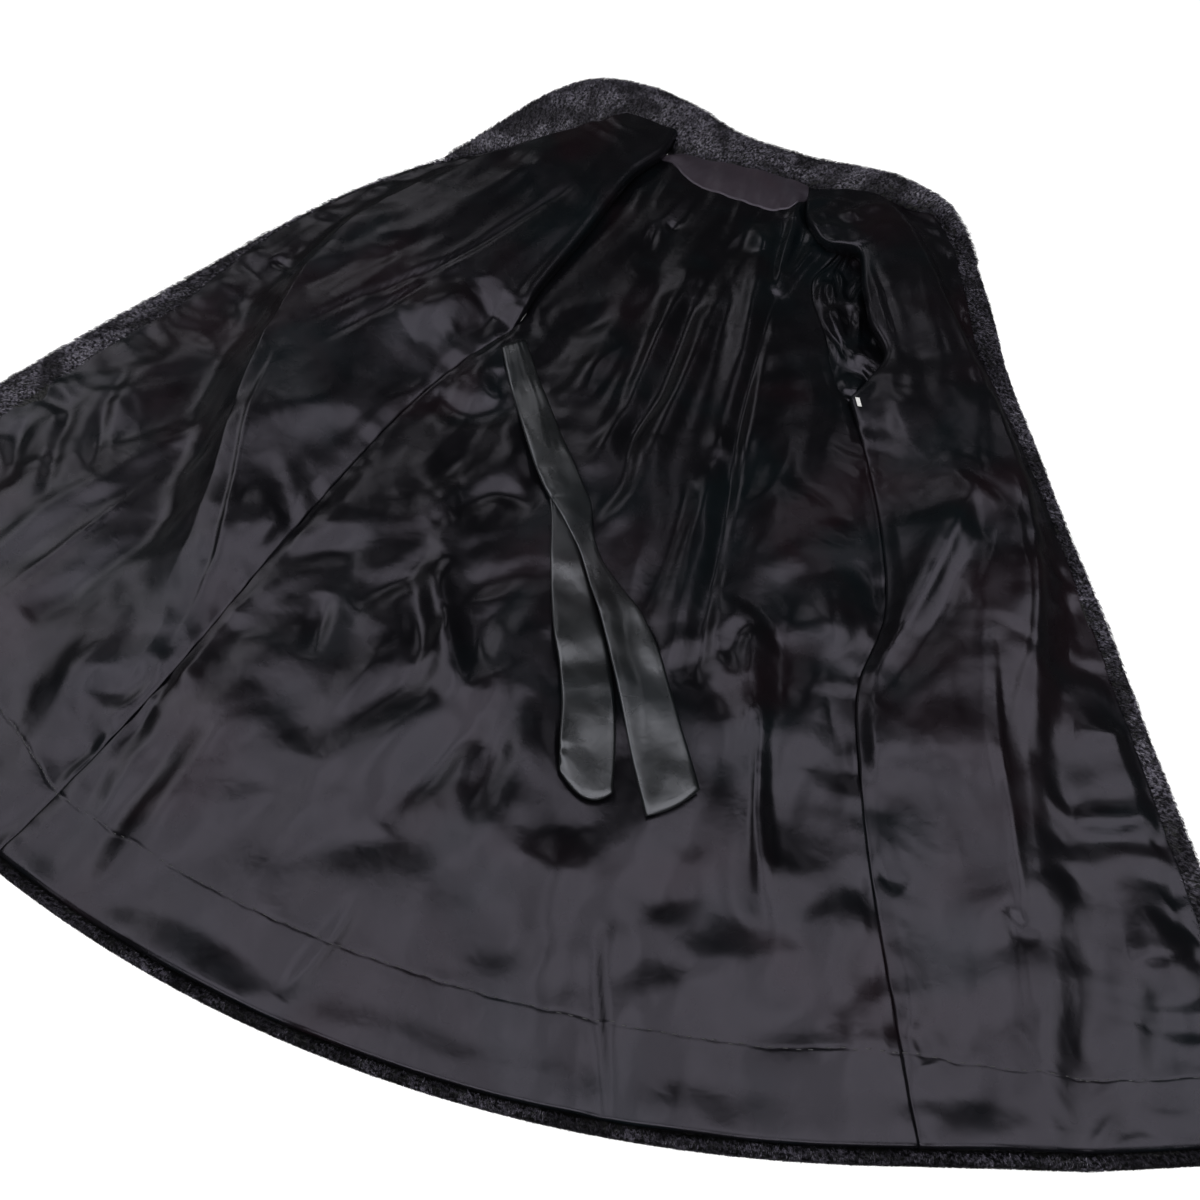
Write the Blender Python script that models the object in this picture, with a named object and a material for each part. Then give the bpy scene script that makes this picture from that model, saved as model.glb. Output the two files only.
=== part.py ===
"""A black fur coat laid open on its back, fur down and satin lining up.

Sides are the wearer's: the right front and sleeve lie at -X. +Y runs from the hem up to the neck.
Guide tables are in centimetres from the middle of the neck seam, heights are in millimetres, and the
finished coat is moved so that its box stands on the middle of its underside.
"""

import math

import bmesh
import bpy
from mathutils import Vector

CM = 0.01
MM = 0.001

# Cloth
FUR_WALL = 12 * MM  # pelt and its flattened pile
SATIN_WALL = 1.0 * MM
FACING_WALL = 1.5 * MM
TIE_WALL = 1.6 * MM  # two layers of satin, sewn and turned
SEAM_GAP = 0.3 * MM
COLLAR_GAP = 0.4 * MM

# Grid that all panels share, so that what lies on a panel keeps its triangles
ROWS = 24  # from the neck to the hem
ARMPIT_ROW = 8
BACK_COLUMNS = 26
SLEEVE_COLUMNS = 6  # from the side seam up to the crest over the sleeve
SKIRT_COLUMNS = 7  # from the crest out to the front edge
FRONT_COLUMNS = SLEEVE_COLUMNS + SKIRT_COLUMNS
SKIRT_CROWDING = 1.5  # draws those columns towards the crest

# Fur beyond the lining: share of the margin's width, share of the wall's height
MARGIN_STEPS = ((0.65, 1.0), (1.0, 0.4))
HEM_MARGIN = 1.4 * CM
HEM_DROP = 6.0 * CM  # the back's hem hangs lower at its middle
NECK_RISE = 0.9 * CM
HEM_ROLL = 3.5 * MM  # the lining's turned hem stands up from the pelt
CREST_ROLL = 2.3 * CM  # how far the front takes to fall from its crest

# Guide lines: row, x, y
SIDE_SEAM_RIGHT = (
    (8, -19.5, -35.0),
    (10, -24.2, -44.0),
    (12, -27.2, -53.0),
    (16, -31.3, -71.5),
    (20, -34.8, -90.0),
    (24, -39.5, -108.0),
)
SIDE_SEAM_LEFT = (
    (8, 20.0, -35.2),
    (10, 23.4, -43.6),
    (12, 26.4, -52.8),
    (14, 28.2, -62.0),
    (16, 27.2, -71.0),
    (18, 29.2, -80.5),
    (20, 32.0, -90.0),
    (24, 38.3, -108.0),
)
BACK_ARMHOLE_RIGHT = (
    (0, -10.5, 2.0),
    (1, -14.0, -2.0),
    (3, -18.4, -11.5),
    (5, -20.2, -22.0),
    (7, -18.8, -32.0),
    (8, -19.5, -35.0),
)
BACK_ARMHOLE_LEFT = (
    (0, 8.0, 0.6),
    (1, 9.4, -6.2),
    (2, 14.0, -9.4),
    (3, 12.0, -16.8),
    (5, 15.2, -25.4),
    (7, 18.0, -33.0),
    (8, 20.0, -35.2),
)
FRONT_ARMHOLE_RIGHT = (
    (0, -11.0, 5.2),
    (1, -11.6, 0.5),
    (2, -14.0, -5.0),
    (4, -16.2, -16.7),
    (6, -18.5, -27.9),
    (7, -19.0, -32.2),
    (8, -19.5, -35.0),
)
FRONT_ARMHOLE_LEFT = (
    (0, 8.0, 0.6),
    (1, 9.4, -6.2),
    (2, 12.6, -10.6),
    (3, 16.6, -11.2),
    (4, 18.4, -17.6),
    (5, 20.2, -23.2),
    (6, 22.6, -27.8),
    (7, 21.4, -32.4),
    (8, 20.0, -35.2),
)
CREST_RIGHT = (
    (0, -18.0, 7.0),
    (3, -27.0, -4.6),
    (6, -38.0, -19.0),
    (8, -42.5, -28.0),
    (10, -44.6, -37.0),
    (12, -44.8, -46.0),
    (14, -44.0, -56.0),
    (16, -42.4, -65.0),
    (18, -41.0, -75.0),
    (20, -41.5, -85.0),
    (24, -47.0, -104.0),
)
CREST_LEFT = (
    (0, 16.5, 1.0),
    (1, 18.9, -2.4),
    (2, 20.9, -5.8),
    (3, 22.7, -9.4),
    (4, 24.9, -14.2),
    (5, 27.6, -20.3),
    (6, 30.8, -27.0),
    (8, 35.3, -37.0),
    (10, 38.8, -46.5),
    (12, 40.8, -56.0),
    (14, 41.8, -65.0),
    (16, 42.4, -74.0),
    (20, 46.3, -91.0),
    (24, 50.6, -104.6),
)
EDGE_RIGHT = (
    (0, -24.5, 4.6),
    (3, -32.2, -4.4),
    (6, -42.5, -17.0),
    (8, -48.5, -26.0),
    (12, -57.5, -42.0),
    (16, -65.2, -56.5),
    (20, -72.4, -71.0),
    (24, -79.0, -84.0),
)
EDGE_LEFT = (
    (0, 24.0, 0.0),
    (2, 27.6, -6.4),
    (3, 29.0, -10.8),
    (4, 30.6, -15.8),
    (6, 33.8, -27.0),
    (8, 38.2, -37.0),
    (12, 46.0, -55.0),
    (16, 52.5, -72.0),
    (20, 58.8, -87.6),
    (24, 64.4, -99.6),
)

# Heights of a front's underside over what lies beneath it: row, height
ARMHOLE_LIFT_RIGHT = ((0, 17), (2, 20), (5, 18), (6, 17), (7, 14), (8, 0), (9, 0), (24, 0))
ARMHOLE_LIFT_LEFT = ((0, 0), (1, 14.6), (2, 17), (5, 19), (7, 16), (8, 13), (9, 6), (10, 0), (24, 0))
CREST_LIFT_RIGHT = ((0, 17), (3, 32), (6, 43), (9, 45), (12, 42), (15, 33), (18, 15), (21, 5), (24, 0))
CREST_LIFT_LEFT = ((0, 8), (1, 16), (2, 22), (5, 36), (9, 42), (12, 40), (14, 31), (16, 17), (19, 7), (24, 2))

# Width of the fur beyond the lining at the front edge: row, centimetres
EDGE_MARGIN_RIGHT = ((0, 0.3), (1, 0.6), (3, 2.4), (4, 3.9), (8, 4.4), (24, 4.4))
EDGE_MARGIN_LEFT = ((0, 0.4), (1, 1.2), (3, 3.0), (7, 3.0), (10, 2.3), (14, 2.4), (24, 3.0))

# Collar, free end: row, inner x, inner y, outer x, outer y, height
COLLAR_FREE_END = (
    (0, -38.3, -6.5, -39.2, -6.0, 9),
    (2, -34.9, -3.9, -37.0, -2.0, 15),
    (4, -31.2, -0.6, -33.7, 4.6, 21),
    (6, -27.7, 2.9, -29.9, 11.6, 26),
    (8, -22.8, 6.3, -24.9, 16.2, 28),
    (10, -16.0, 8.0, -17.2, 16.6, 27),
    (12, -10.8, 6.6, -9.8, 13.9, 25),
)
COLLAR_FREE_ROWS = 13
# Collar, sewn part: x of its seam, outer x, outer y, height
COLLAR_SEWN = (
    (-10.5, -8.4, 12.9, 25),
    (-8.5, -5.4, 10.8, 24),
    (-7.0, -2.6, 9.4, 23),
    (-4.4, 1.2, 8.4, 22),
    (3.4, 7.6, 7.1, 22),
    (10.5, 14.2, 6.9, 24),
    (18.5, 20.6, 5.7, 24),
    (25.0, 26.8, 1.5, 18),
    (29.9, 31.0, -6.2, 8),
)
COLLAR_COLUMNS = 6
COLLAR_EDGE = 0.35  # height of its seam and outer edge, as a share of the roll

# Folds of the loose satin: x and y of both ends, height, half width in centimetres
BACK_FOLDS = (
    (5.4, -12, 8.0, -45, 12, 1.8),
    (8.0, -45, 9.8, -74, 11, 2.0),
    (13.2, -38, 15.2, -62, 5, 2.2),
    (-2.4, -20, -4.6, -52, 9, 1.6),
    (2.4, -16, 0.4, -58, 8, 1.7),
    (-7.6, -22, -9.4, -46, 5, 1.8),
    (-6.2, -5, -8.6, -13, 4, 1.5),
    (16.0, -67, 20.0, -82, 9, 1.8),
    (20.0, -82, 25.0, -97, 9, 1.8),
    (13.0, -64, 18.0, -71, 7, 2.0),
    (23.6, -60, 23.4, -80, 7, 2.4),
    (-15.0, -68, -11.6, -80, 10, 2.0),
    (-11.6, -80, -6.0, -81, 7, 1.8),
    (-22.0, -58, -12.0, -66, 6, 2.2),
    (-26.6, -84, -29.0, -106, 6, 2.4),
    (-19.0, -94, -9.0, -84, 6, 2.6),
    (5.6, -94, 9.4, -111, 7, 2.0),
    (1.0, -88, -6.0, -106, 5, 3.0),
    (29.0, -92, 33.0, -106, 5, 2.2),
)
FRONT_FOLDS_RIGHT = (
    (-22.0, -2, -36.0, -30, 5, 1.8),
    (-24.0, -32, -31.0, -40, 7, 2.4),
    (-28.0, -50, -38.0, -58, 6, 2.6),
    (-31.0, -62, -37.0, -82, 5, 2.4),
    (-48.0, -60, -61.0, -86, 5, 1.6),
    (-53.0, -44, -58.0, -62, 5, 2.4),
    (-37.0, -88, -44.0, -92, 9, 1.8),
    (-58.0, -72, -67.0, -88, 4, 2.4),
)
FRONT_FOLDS_LEFT = (
    (23.5, -14, 27.0, -26, 5, 1.6),
    (27.0, -26, 30.5, -48, 5, 1.8),
    (33.5, -48, 27.6, -68, 7, 2.0),
    (34.6, -54, 37.5, -67, 7, 1.8),
    (37.5, -67, 43.0, -88, 8, 1.8),
    (44.5, -90, 48.0, -104, 6, 1.8),
    (32.5, -84, 37.0, -102, 5, 2.2),
    (48.0, -68, 54.0, -76, 5, 2.0),
    (52.0, -84, 59.0, -92, 5, 2.0),
)
# Gathers of the sleeve lining in the open armhole
SLEEVE_LINING_FOLDS = (
    (11.5, -12, 13.5, -22, 3, 1.2),
    (15.0, -12, 16.0, -28, 4, 1.2),
    (18.0, -14, 18.6, -28, 3, 1.2),
)
SLEEVE_LINING_COLUMNS = 5
SLEEVE_LINING_ROWS = (1, 8)  # first and last row of the armhole that it fills
SLEEVE_FLOOR = (8.5 * MM, 5.0 * MM)  # its pelt at the back's edge and further in
CUFF_ROW = 15
SHOULDER_ROW = 1
SLEEVE_START = 2  # the column of the front where a sleeve begins, clear of the back's edge

# Ties: x, y of the middle line
TIE_UPPER = (
    (-18.0, -37.5),
    (-14.0, -44.5),
    (-9.6, -51.0),
    (-5.6, -57.5),
    (-0.2, -65.0),
    (5.2, -73.0),
    (9.6, -80.0),
    (13.8, -86.4),
)
TIE_LOWER = (
    (-17.4, -39.5),
    (-12.6, -47.6),
    (-7.6, -54.5),
    (-4.0, -61.0),
    (-1.2, -68.0),
    (1.8, -74.5),
    (4.2, -80.5),
    (6.6, -87.4),
)
TIE_WIDTHS = (2.0 * CM, 5.4 * CM)  # gathered in the seam, and at the loose end
TIE_ROWS = 18
TIE_COLUMNS = 3
TIE_SLANTS = (3.6 * CM, -2.2 * CM)  # the loose ends of the lower and upper tie are cut at an angle
TIE_CLEARANCE = 0.4 * MM
CLOTH_REACH = 4.4 * CM

TAG_WALL = 1.2 * MM
TAG_CELL = (0, ARMPIT_ROW)  # the cell of the left front that it lies on
TAG_SPAN = ((0.05, 0.36), (0.06, 0.42))  # shares of that cell, across and down


def along(table, row):
    """The values of a guide table at a row, on a smooth curve through its points."""
    last = len(table) - 1
    k = 0
    while k < last - 1 and table[k + 1][0] <= row:
        k += 1
    start, end = table[k], table[k + 1]
    span = end[0] - start[0]
    t = (row - start[0]) / span

    def slope(at, value):
        low, high = table[max(at - 1, 0)], table[min(at + 1, last)]
        return (high[value] - low[value]) / (high[0] - low[0]) * span

    values = []
    for value in range(1, len(start)):
        a, b = start[value], end[value]
        da, db = slope(k, value), slope(k + 1, value)
        cubic = a + t * (da + t * (3 * (b - a) - 2 * da - db + t * (2 * (a - b) + da + db)))
        values.append(cubic)
    return values


def guide_point(table, row):
    x, y = along(table, row)
    return Vector((x * CM, y * CM))


def height_at(table, row):
    return max(0.0, along(table, row)[0]) * MM


def edge_of(armhole, seam, row):
    """The line where a panel's own armhole goes over into the side seam."""
    return guide_point(armhole if row < ARMPIT_ROW else seam, row)


def hem_direction(seam):
    """Which way a side seam points where it meets the hem."""
    return (guide_point(seam, ROWS) - guide_point(seam, ROWS - 1)).normalized()


def fold_height(folds, x, y):
    """The height of soft ridges, each fading towards its ends and sides."""
    total = 0.0
    for x0, y0, x1, y1, height, half_width in folds:
        start = Vector((x0 * CM, y0 * CM))
        run = Vector((x1 * CM, y1 * CM)) - start
        away = Vector((x, y)) - start
        share = min(1.0, max(0.0, away.dot(run) / run.length_squared))
        off = (away - run * share).length / (half_width * CM)
        total += height * MM * math.exp(-off * off) * math.sin(math.pi * (0.15 + 0.7 * share))
    return total


class Back:
    """The back panel: straight rows that sag towards the hem."""

    columns = BACK_COLUMNS
    folds = BACK_FOLDS

    def lift(self, i, j):
        return 0.0

    def place(self, i, j):
        row = min(j, ROWS)
        start = edge_of(BACK_ARMHOLE_RIGHT, SIDE_SEAM_RIGHT, row) + Vector((SEAM_GAP, 0))
        end = edge_of(BACK_ARMHOLE_LEFT, SIDE_SEAM_LEFT, row) - Vector((SEAM_GAP, 0))
        share = i / self.columns
        point = start.lerp(end, share)
        bow = 4 * share * (1 - share)
        level = row / ROWS
        point.y += bow * (NECK_RISE * (1 - level) ** 4 - HEM_DROP * level**2)
        if j > ROWS:
            down = hem_direction(SIDE_SEAM_RIGHT).lerp(hem_direction(SIDE_SEAM_LEFT), share)
            point += down * HEM_MARGIN * MARGIN_STEPS[j - ROWS - 1][0]
        return point


class Front:
    """A front panel: from the side seam over the crest above the sleeve, then out to its edge."""

    columns = FRONT_COLUMNS

    def __init__(self, armhole, seam, crest, edge, armhole_lift, crest_lift, margin, folds):
        self.armhole = armhole
        self.seam = seam
        self.crest = crest
        self.edge = edge
        self.armhole_lift = armhole_lift
        self.crest_lift = crest_lift
        self.margin = margin
        self.folds = folds

    def place(self, i, j):
        row = min(j, ROWS)
        crest, edge = guide_point(self.crest, row), guide_point(self.edge, row)
        if i <= SLEEVE_COLUMNS:
            point = edge_of(self.armhole, self.seam, row).lerp(crest, i / SLEEVE_COLUMNS)
        else:
            step = min(i - SLEEVE_COLUMNS, SKIRT_COLUMNS) / SKIRT_COLUMNS
            point = crest.lerp(edge, step**SKIRT_CROWDING)
        if i > self.columns:
            margin = along(self.margin, row)[0] * CM
            point += (edge - crest).normalized() * margin * MARGIN_STEPS[i - self.columns - 1][0]
        if j > ROWS:
            down = self.place(i, ROWS) - self.place(i, ROWS - 1)
            point += down.normalized() * HEM_MARGIN * MARGIN_STEPS[j - ROWS - 1][0]
        return point

    def lift(self, i, j):
        row = min(j, ROWS)
        low, high = height_at(self.armhole_lift, row), height_at(self.crest_lift, row)
        if i <= SLEEVE_COLUMNS:
            return low + (high - low) * math.sin(math.pi / 2 * i / SLEEVE_COLUMNS)
        off = (self.place(i, row) - guide_point(self.crest, row)).length / CREST_ROLL
        return high * math.exp(-off * off)


BACK = Back()
FRONT_RIGHT = Front(
    FRONT_ARMHOLE_RIGHT, SIDE_SEAM_RIGHT, CREST_RIGHT, EDGE_RIGHT,
    ARMHOLE_LIFT_RIGHT, CREST_LIFT_RIGHT, EDGE_MARGIN_RIGHT, FRONT_FOLDS_RIGHT,
)
FRONT_LEFT = Front(
    FRONT_ARMHOLE_LEFT, SIDE_SEAM_LEFT, CREST_LEFT, EDGE_LEFT,
    ARMHOLE_LIFT_LEFT, CREST_LIFT_LEFT, EDGE_MARGIN_LEFT, FRONT_FOLDS_LEFT,
)


def margin_share(panel, i, j):
    """How high the fur stands beyond the lining, as a share of its wall."""
    share = 1.0
    if i > panel.columns:
        share = min(share, MARGIN_STEPS[i - panel.columns - 1][1])
    if j > ROWS:
        share = min(share, MARGIN_STEPS[j - ROWS - 1][1])
    return share


def lining_underside(panel, i, j):
    """Where the satin's lower face lies: just over the pelt, and up over its own folds."""
    x, y = panel.place(i, j)
    height = panel.lift(i, j) + FUR_WALL + SEAM_GAP + fold_height(panel.folds, x, y)
    return height + (HEM_ROLL if j == ROWS else 0.0)


def wall(name, columns, rows, place, top, bottom, material, keep=None):
    """A closed wall over a grid, whose upper and lower faces have the same triangles."""
    bm = bmesh.new()
    bmesh.ops.create_grid(bm, x_segments=columns, y_segments=rows, size=0.5)

    def cell(co):
        return round((co.x + 0.5) * columns), round((co.y + 0.5) * rows)

    if keep:
        middles = [(f, f.calc_center_median()) for f in bm.faces]
        outside = [
            f for f, at in middles
            if not keep(math.floor((at.x + 0.5) * columns), math.floor((at.y + 0.5) * rows))
        ]
        bmesh.ops.delete(bm, geom=outside, context="FACES")
    bmesh.ops.triangulate(bm, faces=bm.faces[:], quad_method="FIXED")
    lower = set(bm.verts)
    bmesh.ops.extrude_face_region(bm, geom=bm.faces[:], use_keep_orig=True)
    for vertex in bm.verts:
        i, j = cell(vertex.co)
        x, y = place(i, j)
        height = bottom(i, j) if vertex in lower else top(i, j)
        vertex.co = (x, y, height)
    bmesh.ops.recalc_face_normals(bm, faces=bm.faces[:])
    return finish(name, bm, material)


def finish(name, bm, material):
    mesh = bpy.data.meshes.new(name)
    bm.to_mesh(mesh)
    bm.free()
    mesh.materials.append(material)
    mesh.shade_smooth()
    made = bpy.data.objects.new(name, mesh)
    coat_collection().objects.link(made)
    return made


def coat_collection():
    name = "Fur coat"
    if name not in bpy.data.collections:
        bpy.context.scene.collection.children.link(bpy.data.collections.new(name))
    return bpy.data.collections[name]


def material(name, colour, roughness, metallic=0.0):
    made = bpy.data.materials.new(name)
    made.use_nodes = True
    shader = made.node_tree.nodes["Principled BSDF"]
    shader.inputs["Base Color"].default_value = (*colour, 1.0)
    shader.inputs["Roughness"].default_value = roughness
    shader.inputs["Metallic"].default_value = metallic
    return made


def fur_panel(name, panel, fur):
    beyond = len(MARGIN_STEPS)
    columns = panel.columns + (beyond if panel is not BACK else 0)

    def top(i, j):
        return panel.lift(i, j) + FUR_WALL * margin_share(panel, i, j)

    return wall(name, columns, ROWS + beyond, panel.place, top, panel.lift, fur)


def lining_panel(name, panel, satin):
    def underside(i, j):
        return lining_underside(panel, i, j)

    def top(i, j):
        return underside(i, j) + SATIN_WALL

    return wall(name, panel.columns, ROWS, panel.place, top, underside, satin)


def sleeve_right(fur):
    """The right sleeve: its layers are one solid that fills the space beneath the front."""
    columns, rows = SLEEVE_COLUMNS - SLEEVE_START, CUFF_ROW - SHOULDER_ROW

    def place(i, j):
        return FRONT_RIGHT.place(i + SLEEVE_START, j + SHOULDER_ROW)

    def top(i, j):
        return FRONT_RIGHT.lift(i + SLEEVE_START, j + SHOULDER_ROW) - SEAM_GAP

    return wall("fur_sleeve_right", columns, rows, place, top, lambda i, j: 0.0, fur)


def armhole_place(i, j):
    """A point of the open armhole, from the back's edge to below the front's edge."""
    row = j + SLEEVE_LINING_ROWS[0]
    start = BACK.place(BACK.columns, row) + Vector((2 * SEAM_GAP, 0))
    end = FRONT_LEFT.place(SLEEVE_START, row)
    return start.lerp(end, i / SLEEVE_LINING_COLUMNS)


def armhole_floor(i, j):
    edge, inside = SLEEVE_FLOOR
    return edge + (inside - edge) * min(1.0, 2 * i / SLEEVE_LINING_COLUMNS)


def sleeve_left(fur):
    """The left sleeve: a floor across the open armhole, then the solid beneath the front."""
    first, last = SLEEVE_LINING_ROWS
    columns = SLEEVE_LINING_COLUMNS + SLEEVE_COLUMNS - SLEEVE_START
    rows = CUFF_ROW - first

    def beneath(i):
        return i - SLEEVE_LINING_COLUMNS + SLEEVE_START

    def place(i, j):
        if i < SLEEVE_LINING_COLUMNS:
            return armhole_place(i, min(j, last - first))
        return FRONT_LEFT.place(beneath(i), j + first)

    def top(i, j):
        if i < SLEEVE_LINING_COLUMNS:
            return armhole_floor(i, j)
        return FRONT_LEFT.lift(beneath(i), j + first) - SEAM_GAP

    def keep(i, j):
        return i >= SLEEVE_LINING_COLUMNS or j < last - first

    return wall("fur_sleeve_left", columns, rows, place, top, lambda i, j: 0.0, fur, keep)


def lining_sleeve_left(satin):
    first, last = SLEEVE_LINING_ROWS

    def underside(i, j):
        x, y = armhole_place(i, j)
        return armhole_floor(i, j) + SEAM_GAP + fold_height(SLEEVE_LINING_FOLDS, x, y)

    def top(i, j):
        return underside(i, j) + SATIN_WALL

    columns = SLEEVE_LINING_COLUMNS - 1
    return wall("lining_sleeve_left", columns, last - first, armhole_place, top, underside, satin)


def neck_facing(satin):
    """The back neck facing: the lining's top row again, moved out."""

    def underside(i, j):
        return lining_underside(BACK, i, j) + SATIN_WALL + SEAM_GAP

    def top(i, j):
        return underside(i, j) + FACING_WALL

    return wall("neck_facing", BACK.columns, 1, BACK.place, top, underside, satin)


def neck_edge():
    """The edge that the collar is sewn to: the back's neck, the left front's and its first fur."""
    edge = [BACK.place(i, 0) for i in range(BACK.columns + 1)]
    beyond = FRONT_LEFT.columns + len(MARGIN_STEPS)
    edge += [FRONT_LEFT.place(i, 0) for i in range(1, beyond + 1)]
    edge += [FRONT_LEFT.place(beyond, j) for j in (1, 2)]
    moved = []
    for k, point in enumerate(edge):
        run = edge[min(k + 1, len(edge) - 1)] - edge[max(k - 1, 0)]
        moved.append(point + Vector((-run.y, run.x)).normalized() * COLLAR_GAP)
    return moved


def collar(fur):
    """The collar: a soft roll of double fur between its neck seam and its outer edge."""
    rows = []
    for station in range(COLLAR_FREE_ROWS):
        x0, y0, x1, y1, height = along(COLLAR_FREE_END, station)
        rows.append((Vector((x0 * CM, y0 * CM)), Vector((x1 * CM, y1 * CM)), height))
    for inner in neck_edge():
        x1, y1, height = along(COLLAR_SEWN, inner.x / CM)
        rows.append((inner, Vector((x1 * CM, y1 * CM)), height))

    def place(i, j):
        inner, outer, _ = rows[j]
        return inner.lerp(outer, i / COLLAR_COLUMNS)

    def top(i, j):
        roll = math.sin(math.pi * i / COLLAR_COLUMNS) ** 0.6
        return rows[j][2] * MM * (COLLAR_EDGE + (1 - COLLAR_EDGE) * roll)

    return wall("fur_collar", COLLAR_COLUMNS, len(rows) - 1, place, top, lambda i, j: 0.0, fur)


def upper_points(panel):
    """The grid points of a lining panel's upper face."""
    points = []
    for j in range(ROWS + 1):
        for i in range(panel.columns + 1):
            points.append((panel.place(i, j), lining_underside(panel, i, j) + SATIN_WALL))
    return points


def highest_near(points, at):
    """The highest of the points that lie within reach of a place."""
    return max(height for place, height in points if (place - at).length < CLOTH_REACH)


def tie(name, middle_line, slant, below, satin):
    """A satin tie that lies over the points below it, with a slanting loose end."""
    last = len(middle_line) - 1
    table = tuple((k, *point) for k, point in enumerate(middle_line))

    def middle(j):
        x, y = along(table, j / TIE_ROWS * last)
        return Vector((x * CM, y * CM))

    def place(i, j):
        at = middle(j)
        run = middle(min(j + 0.5, TIE_ROWS)) - middle(max(j - 0.5, 0))
        side = Vector((-run.y, run.x)).normalized()
        share = i / TIE_COLUMNS - 0.5
        narrow, wide = TIE_WIDTHS
        width = narrow + (wide - narrow) * min(1.0, 1.6 * j / TIE_ROWS) ** 0.7
        if j == TIE_ROWS:
            at += run.normalized() * slant * share
        return at + side * width * share

    base = {}
    for j in range(TIE_ROWS + 1):
        for i in range(TIE_COLUMNS + 1):
            base[i, j] = highest_near(below, place(i, j)) + TIE_CLEARANCE

    def top(i, j):
        return base[i, j] + TIE_WALL

    made = wall(name, TIE_COLUMNS, TIE_ROWS, place, top, lambda i, j: base[i, j], satin)
    return made, [(place(i, j), top(i, j)) for i, j in base]


def ties(satin):
    """Both ties: the lower one lies on the lining, the upper one on both."""
    lining = upper_points(BACK)
    lower, on_lower = tie("tie_lower", TIE_LOWER, TIE_SLANTS[0], lining, satin)
    upper, _ = tie("tie_upper", TIE_UPPER, TIE_SLANTS[1], lining + on_lower, satin)
    return [lower, upper]


def seam_tag(cloth):
    """A small bare tag at the top of the left side seam, flat on the front's lining."""
    column, row = TAG_CELL
    corners = {}
    for i in (0, 1):
        for j in (0, 1):
            x, y = FRONT_LEFT.place(column + i, row + j)
            height = lining_underside(FRONT_LEFT, column + i, row + j) + SATIN_WALL
            corners[i, j] = Vector((x, y, height))

    def share(i, j):
        (left, right), (upper, lower) = TAG_SPAN
        return left + (right - left) * i, upper + (lower - upper) * j

    def place(i, j):
        u, v = share(i, j)
        return corners[0, 0].lerp(corners[1, 0], u).lerp(corners[0, 1].lerp(corners[1, 1], u), v).xy

    def bottom(i, j):
        """Over both ways of cutting the cell into triangles."""
        u, v = share(i, j)
        a, b, c, d = (corners[key].z for key in ((0, 0), (1, 0), (0, 1), (1, 1)))
        planes = (a + (b - a) * u + (c - a) * v, d + (c - d) * (1 - u) + (b - d) * (1 - v))
        planes += (a + (d - c) * u + (c - a) * v, a + (b - a) * u + (d - b) * v)
        return max(planes) + SEAM_GAP

    return wall("seam_tag", 1, 1, place, lambda i, j: bottom(i, j) + TAG_WALL, bottom, cloth)


def stand_on_origin(parts):
    """Moves the coat so that its box stands on the middle of its underside."""
    corners = [vertex.co for part in parts for vertex in part.data.vertices]
    low = Vector(min(c[axis] for c in corners) for axis in range(3))
    high = Vector(max(c[axis] for c in corners) for axis in range(3))
    shift = Vector((-(low.x + high.x) / 2, -(low.y + high.y) / 2, -low.z))
    for part in parts:
        for vertex in part.data.vertices:
            vertex.co += shift
    print("neck seam's middle at", tuple(round(s, 5) for s in shift), "box", tuple(high - low))


def build():
    for leftover in list(bpy.data.objects):
        bpy.data.objects.remove(leftover)
    fur = material("black fur", (0.012, 0.011, 0.012), 0.75)
    satin = material("black satin", (0.02, 0.02, 0.023), 0.35)
    tie_satin = material("black tie satin", (0.018, 0.022, 0.024), 0.32)
    pale_cloth = material("pale cotton", (0.75, 0.74, 0.72), 0.85)
    parts = [
        fur_panel("fur_back", BACK, fur),
        fur_panel("fur_front_right", FRONT_RIGHT, fur),
        fur_panel("fur_front_left", FRONT_LEFT, fur),
        sleeve_right(fur),
        sleeve_left(fur),
        collar(fur),
        lining_panel("lining_back", BACK, satin),
        lining_panel("lining_front_right", FRONT_RIGHT, satin),
        lining_panel("lining_front_left", FRONT_LEFT, satin),
        lining_sleeve_left(satin),
        neck_facing(satin),
        *ties(tie_satin),
        seam_tag(pale_cloth),
    ]
    stand_on_origin(parts)


build()
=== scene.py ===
"""A black fur coat laid open on its back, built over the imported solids.

Sides are the wearer's: the right front and sleeve lie at -X. +Y runs from the hem up to the neck.
Guide tables are in centimetres from the middle of the neck seam, heights are in millimetres.
Every panel is a grid of columns (from its side seam, or from the right armhole on the back) and
rows (from the neck to the hem). What lies on a panel is made from the same grid.
"""

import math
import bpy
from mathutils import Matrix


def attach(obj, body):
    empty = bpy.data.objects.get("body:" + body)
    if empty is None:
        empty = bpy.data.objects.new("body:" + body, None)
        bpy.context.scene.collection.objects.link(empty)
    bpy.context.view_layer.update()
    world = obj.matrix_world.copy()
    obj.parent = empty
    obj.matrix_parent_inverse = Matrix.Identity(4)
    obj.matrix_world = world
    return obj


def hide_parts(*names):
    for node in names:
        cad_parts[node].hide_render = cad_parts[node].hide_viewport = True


bl_info = {
    "name": "Laid-open fur coat",
    "version": (1, 0, 0),
    "blender": (4, 5, 0),
    "location": "View3D > Sidebar > Fur coat",
    "description": "Builds a fur coat with its satin lining, laid open with the fur down",
    "category": "Object",
}

import bpy
import numpy as np
from bpy.props import FloatProperty, FloatVectorProperty, PointerProperty
from mathutils import Euler, Vector

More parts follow.
